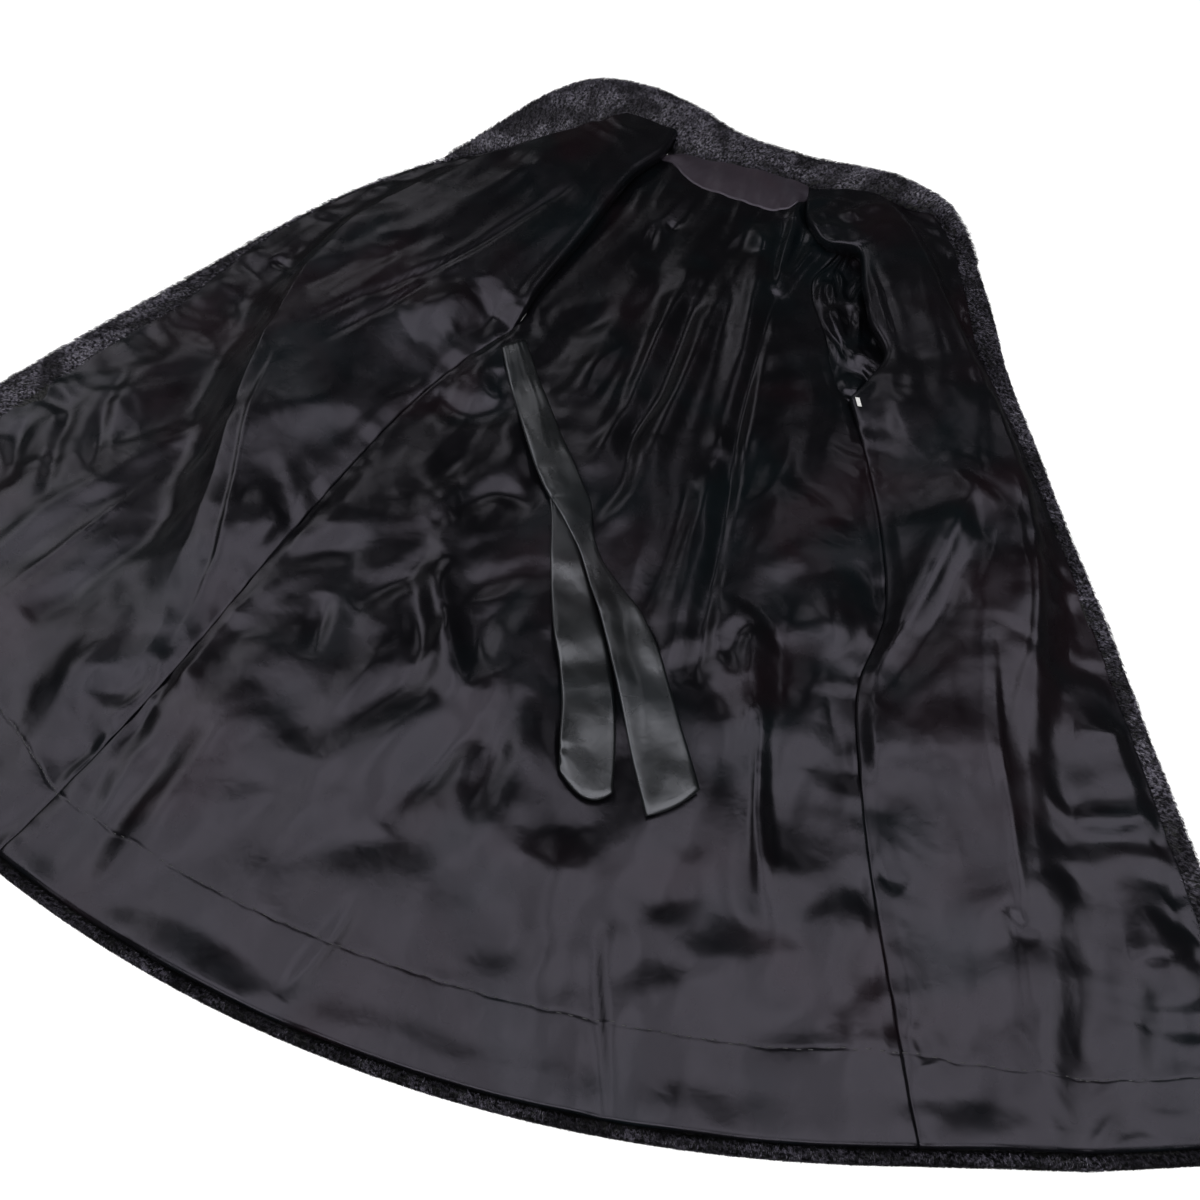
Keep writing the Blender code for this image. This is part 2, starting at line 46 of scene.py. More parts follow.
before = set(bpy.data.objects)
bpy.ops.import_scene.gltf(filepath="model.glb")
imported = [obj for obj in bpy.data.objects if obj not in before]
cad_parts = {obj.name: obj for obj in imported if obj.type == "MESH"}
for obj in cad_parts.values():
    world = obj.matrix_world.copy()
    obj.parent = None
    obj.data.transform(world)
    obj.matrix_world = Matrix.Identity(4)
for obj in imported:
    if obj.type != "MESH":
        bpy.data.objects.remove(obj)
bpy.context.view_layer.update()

CM = 0.01
MM = 0.001
NECK = (0.07757, 0.4924)  # where the guide tables have their zero, in the frame

# Panels, as in the solids: walls, gap and roll in millimetres, margin, drop and rise in centimetres
FUR_WALL = 12.0
SATIN_WALL = 1.0
FACING_WALL = 1.5
TIE_WALL = 1.6
SEAM_GAP = 0.3
ROWS = 24
ARMPIT_ROW = 8
SLEEVE_COLUMNS = 6
SKIRT_COLUMNS = 7
SKIRT_CROWDING = 1.5
HEM_MARGIN = 1.4
HEM_DROP = 6.0
NECK_RISE = 0.9
HEM_ROLL = 3.5
CREST_SHARPNESS = 1.8
FAN_REACH = 70  # centimetres down the coat over which its folds spread to twice their width
CUFF_ROW = 15
SHOULDER_ROW = 1
SLEEVE_START = 2

# What is made on the panels
MOUTH_STEPS = 5  # columns across the open left armhole
ROW_LENGTH = 4.6  # from one row to the next, in centimetres
UNDERSIDE = 0.3  # of a pelt over what it lies on, and of a hair over the floor, in millimetres
PILE_PRESSED = 10.8  # how far the lining presses a pelt's pile down, in millimetres
FOOT = 1.0  # where the pile ends, over what the pelt lies on, in millimetres

# Guide lines: row, x, y
SIDE_SEAM_RIGHT = (
    (8, -19.5, -35), (10, -24.2, -44), (12, -27.2, -53), (16, -31.3, -71.5), (20, -34.8, -90),
    (24, -39.5, -108),
)
SIDE_SEAM_LEFT = (
    (8, 20, -35.2), (10, 23.4, -43.6), (12, 26.4, -52.8), (14, 28.2, -62), (16, 27.2, -71),
    (18, 29.2, -80.5), (20, 32, -90), (24, 38.3, -108),
)
BACK_ARMHOLE_RIGHT = (
    (0, -10.5, 2), (1, -14, -2), (3, -18.4, -11.5), (5, -20.2, -22), (7, -18.8, -32),
    (8, -19.5, -35),
)
BACK_ARMHOLE_LEFT = (
    (0, 8, 0.6), (1, 9.4, -6.2), (2, 14, -9.4), (3, 12, -16.8), (5, 15.2, -25.4), (7, 18, -33),
    (8, 20, -35.2),
)
FRONT_ARMHOLE_RIGHT = (
    (0, -11, 5.2), (1, -11.6, 0.5), (2, -14, -5), (4, -16.2, -16.7), (6, -18.5, -27.9),
    (7, -19, -32.2), (8, -19.5, -35),
)
FRONT_ARMHOLE_LEFT = (
    (0, 8, 0.6), (1, 9.4, -6.2), (2, 12.6, -10.6), (3, 16.6, -11.2), (4, 18.4, -17.6),
    (5, 20.2, -23.2), (6, 22.6, -27.8), (7, 21.4, -32.4), (8, 20, -35.2),
)
CREST_RIGHT = (
    (0, -18, 7), (3, -27, -4.6), (6, -37.4, -19), (8, -41.7, -28), (10, -43.4, -37),
    (12, -43.5, -46), (14, -42.6, -56), (16, -40.6, -65), (18, -39.2, -75), (20, -40, -85),
    (24, -47, -104),
)
CREST_LEFT = (
    (0, 16.5, 1), (1, 18.9, -2.4), (2, 20.9, -5.8), (3, 22.7, -9.4), (4, 24.9, -14.2),
    (5, 27.6, -20.3), (6, 30.8, -27), (8, 35.3, -37), (10, 38.8, -46.5), (12, 40.8, -56),
    (14, 41.8, -65), (16, 42.4, -74), (20, 46.3, -91), (24, 50.6, -104.6),
)
EDGE_RIGHT = (
    (0, -24.5, 4.6), (3, -32.2, -4.4), (6, -42.5, -17), (8, -48.5, -26), (12, -57.5, -42),
    (16, -65.2, -56.5), (20, -72.4, -71), (24, -79, -84),
)
EDGE_LEFT = (
    (0, 24, 0), (2, 27.6, -6.4), (3, 29, -10.8), (4, 30.6, -15.8), (6, 33.8, -27), (8, 38.2, -37),
    (12, 46, -55), (16, 52.5, -72), (20, 58.8, -87.6), (24, 64.4, -99.6),
)
# Heights of a front's underside over what lies beneath it: row, height
ARMHOLE_LIFT_RIGHT = ((0, 17), (2, 20), (5, 18), (6, 17), (7, 14), (8, 0), (9, 0), (24, 0))
ARMHOLE_LIFT_LEFT = (
    (0, 0), (1, 14.6), (2, 17), (5, 19), (7, 16), (8, 13), (9, 6), (10, 0), (24, 0),
)
CREST_LIFT_RIGHT = (
    (0, 17), (3, 32), (6, 43), (9, 45), (12, 42), (15, 33), (18, 15), (21, 5), (24, 0),
)
CREST_LIFT_LEFT = (
    (0, 8), (1, 16), (2, 22), (5, 36), (9, 42), (12, 40), (14, 31), (16, 17), (19, 7), (24, 2),
)
# Width of the fur beyond the lining at the front edge: row, centimetres
EDGE_MARGIN_RIGHT = ((0, 0.3), (1, 0.6), (3, 2.4), (4, 3.9), (8, 4.4), (24, 4.4))
EDGE_MARGIN_LEFT = ((0, 0.4), (1, 1.2), (3, 3.0), (7, 3.0), (10, 2.3), (14, 2.4), (24, 3.0))
# How far the satin laps over that fur
EDGE_LAP_RIGHT = (
    (0, 0), (2.2, 0.1), (3.2, 1.4), (4.4, 3.1), (8, 3.6), (9.5, 2.8), (11.5, 0.6), (13, 0), (24, 0),
)
EDGE_LAP_LEFT = ((0, 0), (3, -0.3), (5, -0.6), (7, -0.3), (9, 0.2), (18, 0.2), (24, 0))

# Collar, free end: row, inner x, inner y, outer x, outer y, height
COLLAR_FREE_END = (
    (0, -38.3, -6.5, -39.2, -6, 9), (2, -34.2, -5.2, -37, -2, 15), (4, -29.9, -2.7, -33.7, 4.5, 21),
    (6, -26, 0.6, -29.8, 11.3, 26), (8, -21.6, 4.2, -24.8, 15.7, 28),
    (10, -16.4, 5.8, -17.2, 16.1, 27), (12, -12.4, 5.4, -9.9, 13.5, 25),
)
# Collar, sewn part: x of its seam, outer x, outer y, height
COLLAR_SEWN = (
    (-10.5, -8.4, 12.9, 25), (-8.5, -5.4, 10.8, 24), (-7, -2.6, 9.4, 23), (-4.4, 1.2, 8.4, 22),
    (3.4, 7.6, 7.1, 22), (10.5, 14.2, 6.9, 24), (18.5, 20.6, 5.7, 24), (25, 26.8, 1.5, 18),
    (29.9, 30.4, -6.5, 7),
)

# Soft ridges that the solids have too: x and y of both ends, height, half width
BACK_RIDGES = (
    (5.4, -12, 8, -45, 12, 1.8), (8, -45, 9.8, -74, 11, 2), (13.2, -38, 15.2, -62, 5, 2.2),
    (-2.4, -20, -4.6, -52, 9, 1.6), (2.4, -16, 0.4, -58, 8, 1.7), (-7.6, -22, -9.4, -46, 5, 1.8),
    (-6.2, -5, -8.6, -13, 4, 1.5), (16, -67, 20, -82, 9, 1.8), (20, -82, 25, -97, 9, 1.8),
    (13, -64, 18, -71, 7, 2), (23.6, -60, 23.4, -80, 7, 2.4), (-15, -68, -11.6, -80, 6, 2.4),
    (-11.6, -80, -6, -81, 4, 2.2), (-22, -58, -12, -66, 6, 2.2), (-26.6, -84, -29, -106, 6, 2.4),
    (-19, -94, -9, -84, 6, 2.6), (5.6, -94, 9.4, -111, 7, 2), (1, -88, -6, -106, 5, 3),
    (29, -92, 33, -106, 5, 2.2),
)
FRONT_RIDGES_RIGHT = (
    (-22, -2, -36, -30, 5, 1.8), (-24, -32, -31, -40, 7, 2.4), (-28, -50, -38, -58, 6, 2.6),
    (-31, -62, -37, -82, 5, 2.4), (-48, -60, -61, -86, 5, 1.6), (-53, -44, -58, -62, 5, 2.4),
    (-37, -88, -44, -92, 5, 2.2), (-58, -72, -67, -88, 4, 2.4),
)
FRONT_RIDGES_LEFT = (
    (23.5, -14, 27, -26, 2.5, 2), (27, -26, 30.5, -48, 2.5, 2.2), (33.5, -48, 27.6, -68, 7, 2),
    (34.6, -54, 37.5, -67, 7, 1.8), (37.5, -67, 43, -88, 8, 1.8), (44.5, -90, 48, -104, 6, 1.8),
    (32.5, -84, 37, -102, 5, 2.2), (48, -68, 54, -76, 5, 2), (52, -84, 59, -92, 5, 2),
)
SLEEVE_PLEATS = (
    (11.5, -12, 13.5, -22, 3, 1.2), (15, -12, 16, -28, 4, 1.2), (18, -14, 18.6, -28, 3, 1.2),
)

# Finer folds and creases of the satin: the line's points, height, half width to its left and right
BACK_FOLDS = (
    (((-31, -70), (-23, -65), (-15.5, -62)), 7, 4.8, 2.4),
    (((7.9, -19.9), (8.4, -33), (9.2, -44.3), (10.5, -55.3), (11.4, -65.4), (12.6, -75)), -11, 0.8,
      2.3), (((1.2, -46.7), (2.7, -54.9), (3.4, -62.7), (3.9, -68.5)), 5, 1.6, 1.6),
    (((-0.5, -24.2), (-0.1, -39.1), (-1.5, -46.5), (-0.5, -53.7), (-2.1, -59.4)), -6, 0.9, 1.1),
    (((-4.1, -25.3), (-4.2, -37.2), (-4.3, -44.5), (-5.6, -51.6)), -5, 0.8, 1),
    (((14, -64.5), (13.3, -67), (14, -70.5), (16.3, -74.4), (19, -76.6)), 6, 1.6, 1.3),
    (((17.5, -62.8), (18.2, -66.9), (16.2, -69.9), (18.6, -74.8)), 4, 1.3, 1.1),
    (((15.6, -66), (15.4, -70), (16.8, -72.6)), -4, 0.9, 0.9),
    (((19, -75.5), (19.9, -80.8), (21.3, -87.4), (23, -93.3)), 5, 1, 0.4),
    (((20.2, -76.5), (21.2, -81), (22.6, -87), (24.4, -93.5)), -3.2, 0.8, 1.6),
    (((17.6, -76.5), (21, -76.8), (25.5, -75)), 5, 2.2, 2.6),
    (((18.5, -66.5), (22, -65), (25.5, -66.5)), 5, 2, 2.2),
    (((-14.6, -70), (-13.2, -73.1), (-10.2, -78), (-7.9, -81.4), (-4.9, -81.8)), 6, 1.2, 1.4),
    (((-9.9, -71.9), (-7.8, -76.4), (-5.4, -79.4)), -4.5, 2, 1.4),
    (((-17.4, -70.3), (-15, -75), (-12, -79.8)), -6, 1.2, 1.6),
    (((-9.7, -96.3), (-7.5, -90.3), (-5.1, -84.1)), -6, 1.4, 1.4),
    (((-21, -76), (-18.4, -71.6), (-16, -66.6)), -6, 1.3, 1.4),
    (((-24.3, -75.5), (-22.6, -82.7)), -5, 0.9, 1.4),
    (((-8.3, -59), (-13.5, -58.5), (-17, -64.8)), -6, 1.4, 1.4),
    (((-8.8, -102.7), (-9.9, -107.7), (-11.4, -112.4)), -3, 0.8, 0.8),
    (((10.4, -99), (12.2, -104.4), (14.1, -109.4), (16.2, -115.5)), -4.5, 0.6, 1.3),
    (((-1.9, -79.8), (-2.6, -88.3), (-2.6, -95.8)), -4, 1.4, 1.2),
    (((24.2, -78), (23.5, -84), (23.6, -90)), -3, 1.2, 1.2),
    (((-8.5, -11.7), (-8.2, -17.7)), -3, 0.7, 0.7),
    (((-14.8, -45.2), (-10.3, -53.1), (-7.1, -57.6)), -5, 1.8, 1.8),
    (((-25.3, -46.1), (-20.6, -48.8), (-17, -46.5), (-18.8, -41.6)), -7, 1.4, 1.8),
    (((-22, -43), (-18.6, -45), (-15.8, -43.5)), 5, 1.6, 1.6),
    (((7.4, -1.5), (7.6, -8), (8, -15), (8.3, -20.5)), 7, 1, 0.6),
    (((12.4, -8.6), (10.6, -12.5), (9.4, -17), (8.6, -20.5)), 4, 0.6, 0.9),
    (((9.2, -7.5), (9, -12), (8.7, -16.5)), -4, 0.7, 0.7),
    (((6.9, -6.5), (6.6, -13), (7.2, -19)), -5, 0.6, 1),
    (((3.2, -8.4), (4.2, -11), (5.2, -13.4)), 6, 1.3, 1.3),
    (((-6.7, -11), (-6.7, -12.3)), -5, 0.7, 0.7),
)
FRONT_FOLDS_RIGHT = (
    (((-27, -4.6), (-32.8, -12), (-37.4, -19), (-40.4, -24), (-42.4, -31), (-43.5, -39), (-43.5,
      -46), (-42.8, -54), (-40.8, -64), (-39.4, -72), (-39, -79.7)), 3, 2.6, 0.5),
    (((-41.3, -47.7), (-40.6, -55.4), (-39.8, -59.7), (-37.9, -66.8), (-36, -73.8), (-35.5, -78.6),
      (-35.4, -85.3)), 3, 0.9, 0.4),
    (((-44.6, -20), (-48.4, -30), (-50.6, -39), (-50.4, -50.7), (-47.4, -62), (-44, -71.9)), -9,
      2.4, 3.4),
    (((-40.2, -45.4), (-35.5, -38.4), (-33.8, -36.1), (-28, -28.3), (-23.7, -19.6), (-19.5,
      -10.2)), -3.4, 0.5, 0.4), (((-37.2, -46.2), (-30, -33.6)), -3, 0.5, 0.5),
    (((-30.4, -40), (-27.2, -36.3), (-24.6, -33.2)), 6, 1.9, 1.9),
    (((-24.6, -38.6), (-22.4, -34), (-24.4, -30.6)), -6, 1.3, 1.3),
    (((-41, -94.3), (-39.2, -92.7), (-36.8, -93.4), (-34.5, -90.6), (-33.5, -87.8)), 4, 1.3, 1.3),
    (((-40.6, -91.6), (-37.5, -91.2), (-35.4, -88)), -3, 1.4, 1.4),
    (((-36.8, -62.7), (-29.8, -70)), -4, 1.3, 1.3),
    (((-54.6, -85), (-51.9, -78.5), (-48.6, -69.9), (-47.4, -64.8)), 2.4, 0.5, 0.3),
    (((-50.6, -86.5), (-48.6, -82.5), (-46.1, -76.7), (-42.9, -69.7)), -6, 1.8, 1.8),
    (((-61.3, -73.1), (-64.7, -66.4), (-65, -63)), -3.5, 0.9, 0.9),
    (((-56.4, -73.8), (-59.8, -66), (-61.5, -59.5)), -3.5, 0.9, 0.9),
    (((-54.1, -68.7), (-57.5, -60.6), (-58.3, -53.5)), -3.5, 0.9, 0.9),
    (((-51.3, -31.9), (-47.3, -32.8)), -5, 0.6, 0.6),
    (((-46.2, -22.6), (-43.6, -24.6), (-41.8, -23.2)), 5, 0.5, 0.5),
    (((-45.4, -25.6), (-42.6, -26.8)), 4, 0.5, 0.5),
)
FRONT_FOLDS_LEFT = (
    (((27, -77), (33.5, -76), (40.5, -74.5)), 13, 9, 2),
    (((24.5, -51), (30.5, -52.5), (36.5, -53.5)), 9, 2.5, 6.5),
    (((38.2, -67), (41, -78.4), (43.3, -87.1), (45.1, -96)), 2.4, 0.6, 0.35),
    (((45.6, -61.5), (49, -60.9), (52.2, -58)), 5, 1.6, 0.8),
    (((46.4, -70), (49.5, -69.4), (53, -66.9)), 5, 1.6, 0.8),
    (((47.2, -78.6), (50.6, -78), (54, -75.2)), 5, 1.6, 0.8),
    (((52.3, -89), (55, -88.4), (57.8, -86.2)), 4, 1.3, 0.7),
    (((34.6, -45.6), (33.8, -46.9), (31.7, -57.6), (29.3, -65.3), (26.9, -71.4)), 8, 0.8, 2.2),
    (((36, -48.5), (33.8, -58.8), (31.4, -66.5), (29, -72.6)), -6, 1.8, 0.9),
    (((36.8, -40.3), (37.7, -43.9), (38.4, -49.6), (39.9, -55.8), (40.8, -62.6), (40.4, -66.5),
      (40, -71)), 3, 0.4, 1.6),
    (((38, -66), (39.4, -71.6), (41.4, -82.5), (44.3, -91.1), (46.7, -100.2)), -2.5, 1.2, 1.8),
    (((42.3, -88.3), (44.7, -90.9)), -4, 0.8, 0.8),
    (((22.8, -20.3), (26.3, -29.5), (28.6, -40), (29.5, -50.9)), -2.5, 2.2, 1.6),
    (((25.1, -18.2), (30.7, -28.1), (33.3, -39.1), (35.4, -56.4)), -2.2, 0.9, 1.2),
    (((17.9, -13.4), (20.6, -19.6), (22.6, -25), (24, -28.6)), -2.2, 0.6, 0.6),
    (((16.9, -12.4), (19.8, -19.4), (21.8, -24.6), (23.2, -28)), 2, 0.5, 0.5),
    (((54.1, -79), (56.2, -76.5)), -4, 0.8, 0.8), (((55.2, -83.6), (57.3, -81.6)), -4, 0.8, 0.8),
    (((31.4, -87.5), (34.2, -88.7)), -4, 0.9, 0.9), (((36.5, -99.7), (38.3, -102.2)), -4, 0.8, 0.8),
)

# Ties: x, y of the right edge and of the left edge
TIE_UPPER = (
    (-19.5, -38.4, -17.3, -36.5), (-17.3, -42.5, -14.3, -41.1), (-14.8, -46.7, -11, -46),
    (-11.5, -52.1, -7.8, -50.6), (-8.5, -56.5, -4.9, -54.6), (-6.3, -59.1, -2.8, -57.6),
    (-4.3, -61.4, -1.5, -61.1), (-2, -64.2, 0.2, -63.9), (0.2, -67.7, 3.1, -66.6),
    (2.2, -70.9, 5.9, -69.2), (4, -74.1, 8.7, -73), (5.9, -77.7, 10.6, -76.3),
    (8.4, -82.6, 12.9, -80.4), (10.2, -86.1, 14.5, -83.1), (12, -89.4, 15.8, -85.4),
)
TIE_LOWER = (
    (-18.1, -39.2, -16.9, -38.4), (-13.6, -47, -12.2, -46.4), (-8.7, -55.2, -7.2, -54.4),
    (-6.5, -59.6, -4.3, -59.4), (-4.7, -65.2, -1.6, -64.3), (-3.2, -69.4, 0.7, -68.2),
    (-1.6, -73.4, 2.9, -72), (0.2, -77.1, 4.8, -75.7), (1.6, -80.7, 6.2, -79.3),
    (2.6, -84.3, 7.4, -82.9), (3.5, -87.3, 8.6, -87.9),
)
TIE_BULGES = (1.6, 0.5)
TIE_CLEARANCE = 0.5
TIE_ROWS = 120
TIE_COLUMNS = 20
TIE_LENGTH = 58  # in centimetres

# Crumpled places: x, y, reach, height, size of the crumples
CRUMPLES = (
    (12.6, -5.2, 5.2, 6.5, 2.6), (-20.5, -33.5, 3.6, 2.2, 1.5), (16.5, -69.5, 4, 1.4, 1.6),
)

HEM_STITCHES = 1.35  # rows above the hem
# How far the neck facing reaches down the back: column, rows
FACING_DEPTH = ((0, 0.35), (3, 0.5), (8, 0.98), (14, 1.2), (19, 1.2), (23, 0.85), (26, 0.35))
STITCH_SIZE = (0.0042, 0.0007)  # length and thickness, in metres
# How a tie lies over the swells beneath it: share of its length, height
TIE_SWELL = (
    (0, 0), (0.15, 0.6), (0.28, 1.5), (0.42, 4.5), (0.5, 4), (0.55, 4.5), (0.62, 8.5), (0.69, 6),
    (0.77, 7.5), (0.86, 7), (1, 4),
)
TAG_CELL = (0, 8)
TAG_SPAN = ((0.06, 0.24), (0.06, 0.33))

# How an edge turns under: out and down, in millimetres
HEM_TURN = (
    (1, 0.2), (2.2, 0.7), (3.4, 1.25), (4.3, 2.8), (4.3, 4.8), (3, 6.6), (0.5, 7.4), (-5, 7.8),
)
NECK_TURN = ((0.5, 0.4), (0.8, 1.4), (0.6, 3.0))
SEAM_TURN = ((0.15, 0.5), (0.15, 2.0), (0.0, 5.0))
EDGE_TURN = ((1.0, 0.4), (1.8, 1.5), (2.0, 3.2), (0.8, 5.2))
LEDGE_TURN = ((1.6, 0.6), (3.0, 2.6), (3.9, 5.6), (3.7, 9.5), (2.4, 13.5), (0.2, 17), (-3, 19))
# A pelt's height as a share of its full height, over the steps past the lining: at a front edge,
# and at the hem, where a groove comes before the rounded rim
EDGE_RIM = ((0, 1, 1.6, 2), (1, 1, 0.8, 0.4))
HEM_RIM = ((-0.3, 0, 0.3, 0.9, 1.2, 1.6, 2), (1, 0.75, 0.6, 0.9, 1, 0.8, 0.4))
# Rows past the hem before the pile starts: the pelt is left bare there, and its dark stands as painted
# shade in the lowered groove along the hem
HEM_BARE_SHADE = 0.5
COLLAR_STEPS = (260, 30)  # along and across

# Fur: how its tufts and blades stand
HAIRS_IN_TUFT = 4
TUFT_SPREAD = 0.0015  # in metres
OVERHANG = 0.0006  # past the rim before a hair droops, in metres
ROOT_DEPTH = 0.001  # in metres
BLADE_BEND = 1.5  # in millimetres
HAIR_TILT, HAIR_TILT_SPREAD = 0.24, 0.11  # radians off the pelt

# Satin: seams and stitch lines draw it in, and its folds stay clear of the pelt. Heights are in
# millimetres, widths and distances along the cloth in centimetres
SEAM_DIP, SEAM_DIP_WIDTH = 0.7, 0.2
STITCH_DIP, STITCH_DIP_WIDTH = 0.5, 0.14
DEEPEST_FOLD, DEEPEST_FOLD_SOFTNESS = -9.5, 1.2
TIE_STITCHES_IN, TIE_STITCHES_WIDTH, TIE_STITCH_PITCH = 0.3, 0.09, 0.5

CAMERA_AT = (0.210, -1.317, 0.972)  # from the neck seam, in metres
CAMERA_TILT, CAMERA_HEADING = 34.69, 17.16  # degrees
LAMP_HEIGHT = 1.9

SHEEN_TINT = (0.88, 0.82, 0.99)
TIE_TINT = (0.84, 0.85, 0.93)


# Curves and grids


def along(table, rows):
    """The values of a guide table at rows, on smooth curves through its points."""
    table = np.array(table, float)
    at, values = table[:, 0], table[:, 1:]
    rows = np.asarray(rows, float)
    low = np.maximum(np.arange(len(at)) - 1, 0)
    high = np.minimum(np.arange(len(at)) + 1, len(at) - 1)
    slopes = (values[high] - values[low]) / (at[high] - at[low])[:, None]
    k = np.clip(np.searchsorted(at, rows, side="right") - 1, 0, len(at) - 2)
    span = (at[k + 1] - at[k])[..., None]
    t = ((rows - at[k]) / span[..., 0])[..., None]
    a, b = values[k], values[k + 1]
    da, db = slopes[k] * span, slopes[k + 1] * span
    return a + t * (da + t * (3 * (b - a) - 2 * da - db + t * (2 * (a - b) + da + db)))


def blend(a, b, share):
    return a + (b - a) * np.asarray(share)[..., None]


def unit(vectors):
    length = np.linalg.norm(vectors, axis=-1, keepdims=True)
    return vectors / np.maximum(length, 1e-12)


def rise(values, start, end):
    """0 before start and 1 after end, with a soft run between them."""
    t = np.clip((values - start) / (end - start), 0, 1)
    return t * t * (3 - 2 * t)


def bell(off, width):
    """1 on a line, fading to nothing at about twice width from it."""
    return np.exp(-((off / width) ** 2))


def pairs(i, j):
    return np.broadcast_arrays(np.asarray(i, float), np.asarray(j, float))


def beyond(steps):
    """The share of a margin that lies within steps past the lining."""
    return np.interp(steps, (0, 1, 2), (0, 0.65, 1))


def spaced(parts):
    """Numbers from end to end of each part in turn: start, end, how many steps."""
    runs = [np.linspace(start, end, steps, endpoint=False) for start, end, steps in parts]
    return np.append(np.concatenate(runs), parts[-1][1])


def ripple(x, y, seed):
    """Smooth noise from about -1 to 1, made of a random slope at each whole-numbered point."""
    angles = np.random.default_rng(seed).uniform(0, 2 * np.pi, (128, 128))
    i, j = np.floor(x).astype(int), np.floor(y).astype(int)
    fx, fy = x - i, y - j

    def corner(a, b):
        angle = angles[(i + a) % 128, (j + b) % 128]
        return np.cos(angle) * (fx - a) + np.sin(angle) * (fy - b)

    sx, sy = fx**3 * (fx * (fx * 6 - 15) + 10), fy**3 * (fy * (fy * 6 - 15) + 10)
    near = corner(0, 0) + sx * (corner(1, 0) - corner(0, 0))
    far = corner(0, 1) + sx * (corner(1, 1) - corner(0, 1))
    return 1.6 * (near + sy * (far - near))


def ridge_height(ridges, x, y):
    """The height of soft straight ridges, each fading towards its ends and sides."""
    total = np.zeros_like(x)
    for x0, y0, x1, y1, height, half_width in ridges:
        dx, dy = x1 - x0, y1 - y0
        share = np.clip(((x - x0) * dx + (y - y0) * dy) / (dx * dx + dy * dy), 0, 1)
        off = np.hypot(x - x0 - dx * share, y - y0 - dy * share) / half_width
        total += height * np.exp(-off * off) * np.sin(np.pi * (0.15 + 0.7 * share))
    return total


def fold_height(folds, x, y):
    """The height of folds along bent lines. A fold can be steeper on one side than on the other."""
    total = np.zeros_like(x)
    for points, height, left, right in folds:
        last = len(points) - 1
        table = [(k, *point) for k, point in enumerate(points)]
        line = along(table, np.linspace(0, last, 5 * last + 1))
        steps = np.hypot(*np.diff(line, axis=0).T)
        before = np.concatenate([[0], np.cumsum(steps)])
        nearest = np.full(x.shape, np.inf)
        shape = np.zeros_like(x)
        for k, ((x0, y0), (x1, y1)) in enumerate(zip(line[:-1], line[1:])):
            dx, dy = x1 - x0, y1 - y0
            share = np.clip(((x - x0) * dx + (y - y0) * dy) / (dx * dx + dy * dy), 0, 1)
            ox, oy = x - x0 - dx * share, y - y0 - dy * share
            off = np.hypot(ox, oy)
            width = np.where(dx * oy - dy * ox > 0, left, right)
            level = (before[k] + share * steps[k]) / before[-1]
            here = height * bell(off, width) * np.clip(np.sin(np.pi * level), 0, 1) ** 0.6
            shape = np.where(off < nearest, here, shape)
            nearest = np.minimum(nearest, off)
        total += shape
    return total


def edge_of(armhole, seam, row):
    """The line where a panel's own armhole goes over into the side seam."""
    return np.where((row < ARMPIT_ROW)[..., None], along(armhole, row), along(seam, row))


class Back:
    """The back panel: straight rows that sag towards the hem."""

    columns = 26
    ridges, folds, seed = BACK_RIDGES, BACK_FOLDS, 10

    def lift(self, i, j):
        return np.zeros(np.broadcast(i, j).shape)

    def place(self, i, j):
        i, j = pairs(i, j)
        row = np.minimum(j, ROWS)
        start = edge_of(BACK_ARMHOLE_RIGHT, SIDE_SEAM_RIGHT, row) + (0.03, 0)
        end = edge_of(BACK_ARMHOLE_LEFT, SIDE_SEAM_LEFT, row) - (0.03, 0)
        share = i / self.columns
        point = blend(start, end, share)
        level = row / ROWS
        bow = 4 * share * (1 - share)
        point[..., 1] += bow * (NECK_RISE * (1 - level) ** 4 - HEM_DROP * level**2)
        seams = (SIDE_SEAM_RIGHT, SIDE_SEAM_LEFT)
        right, left = (unit(along(s, ROWS) - along(s, ROWS - 1)) for s in seams)
        past = HEM_MARGIN * beyond(j - ROWS)
        return point + blend(right, left, share) * past[..., None]

    def seams(self, i, j):
        """How far a point is from the right and the left seam, in centimetres."""
        ends = (self.place(0, j), self.place(self.columns, j))
        width = np.linalg.norm(ends[1] - ends[0], axis=-1)
        return i / self.columns * width, (1 - i / self.columns) * width


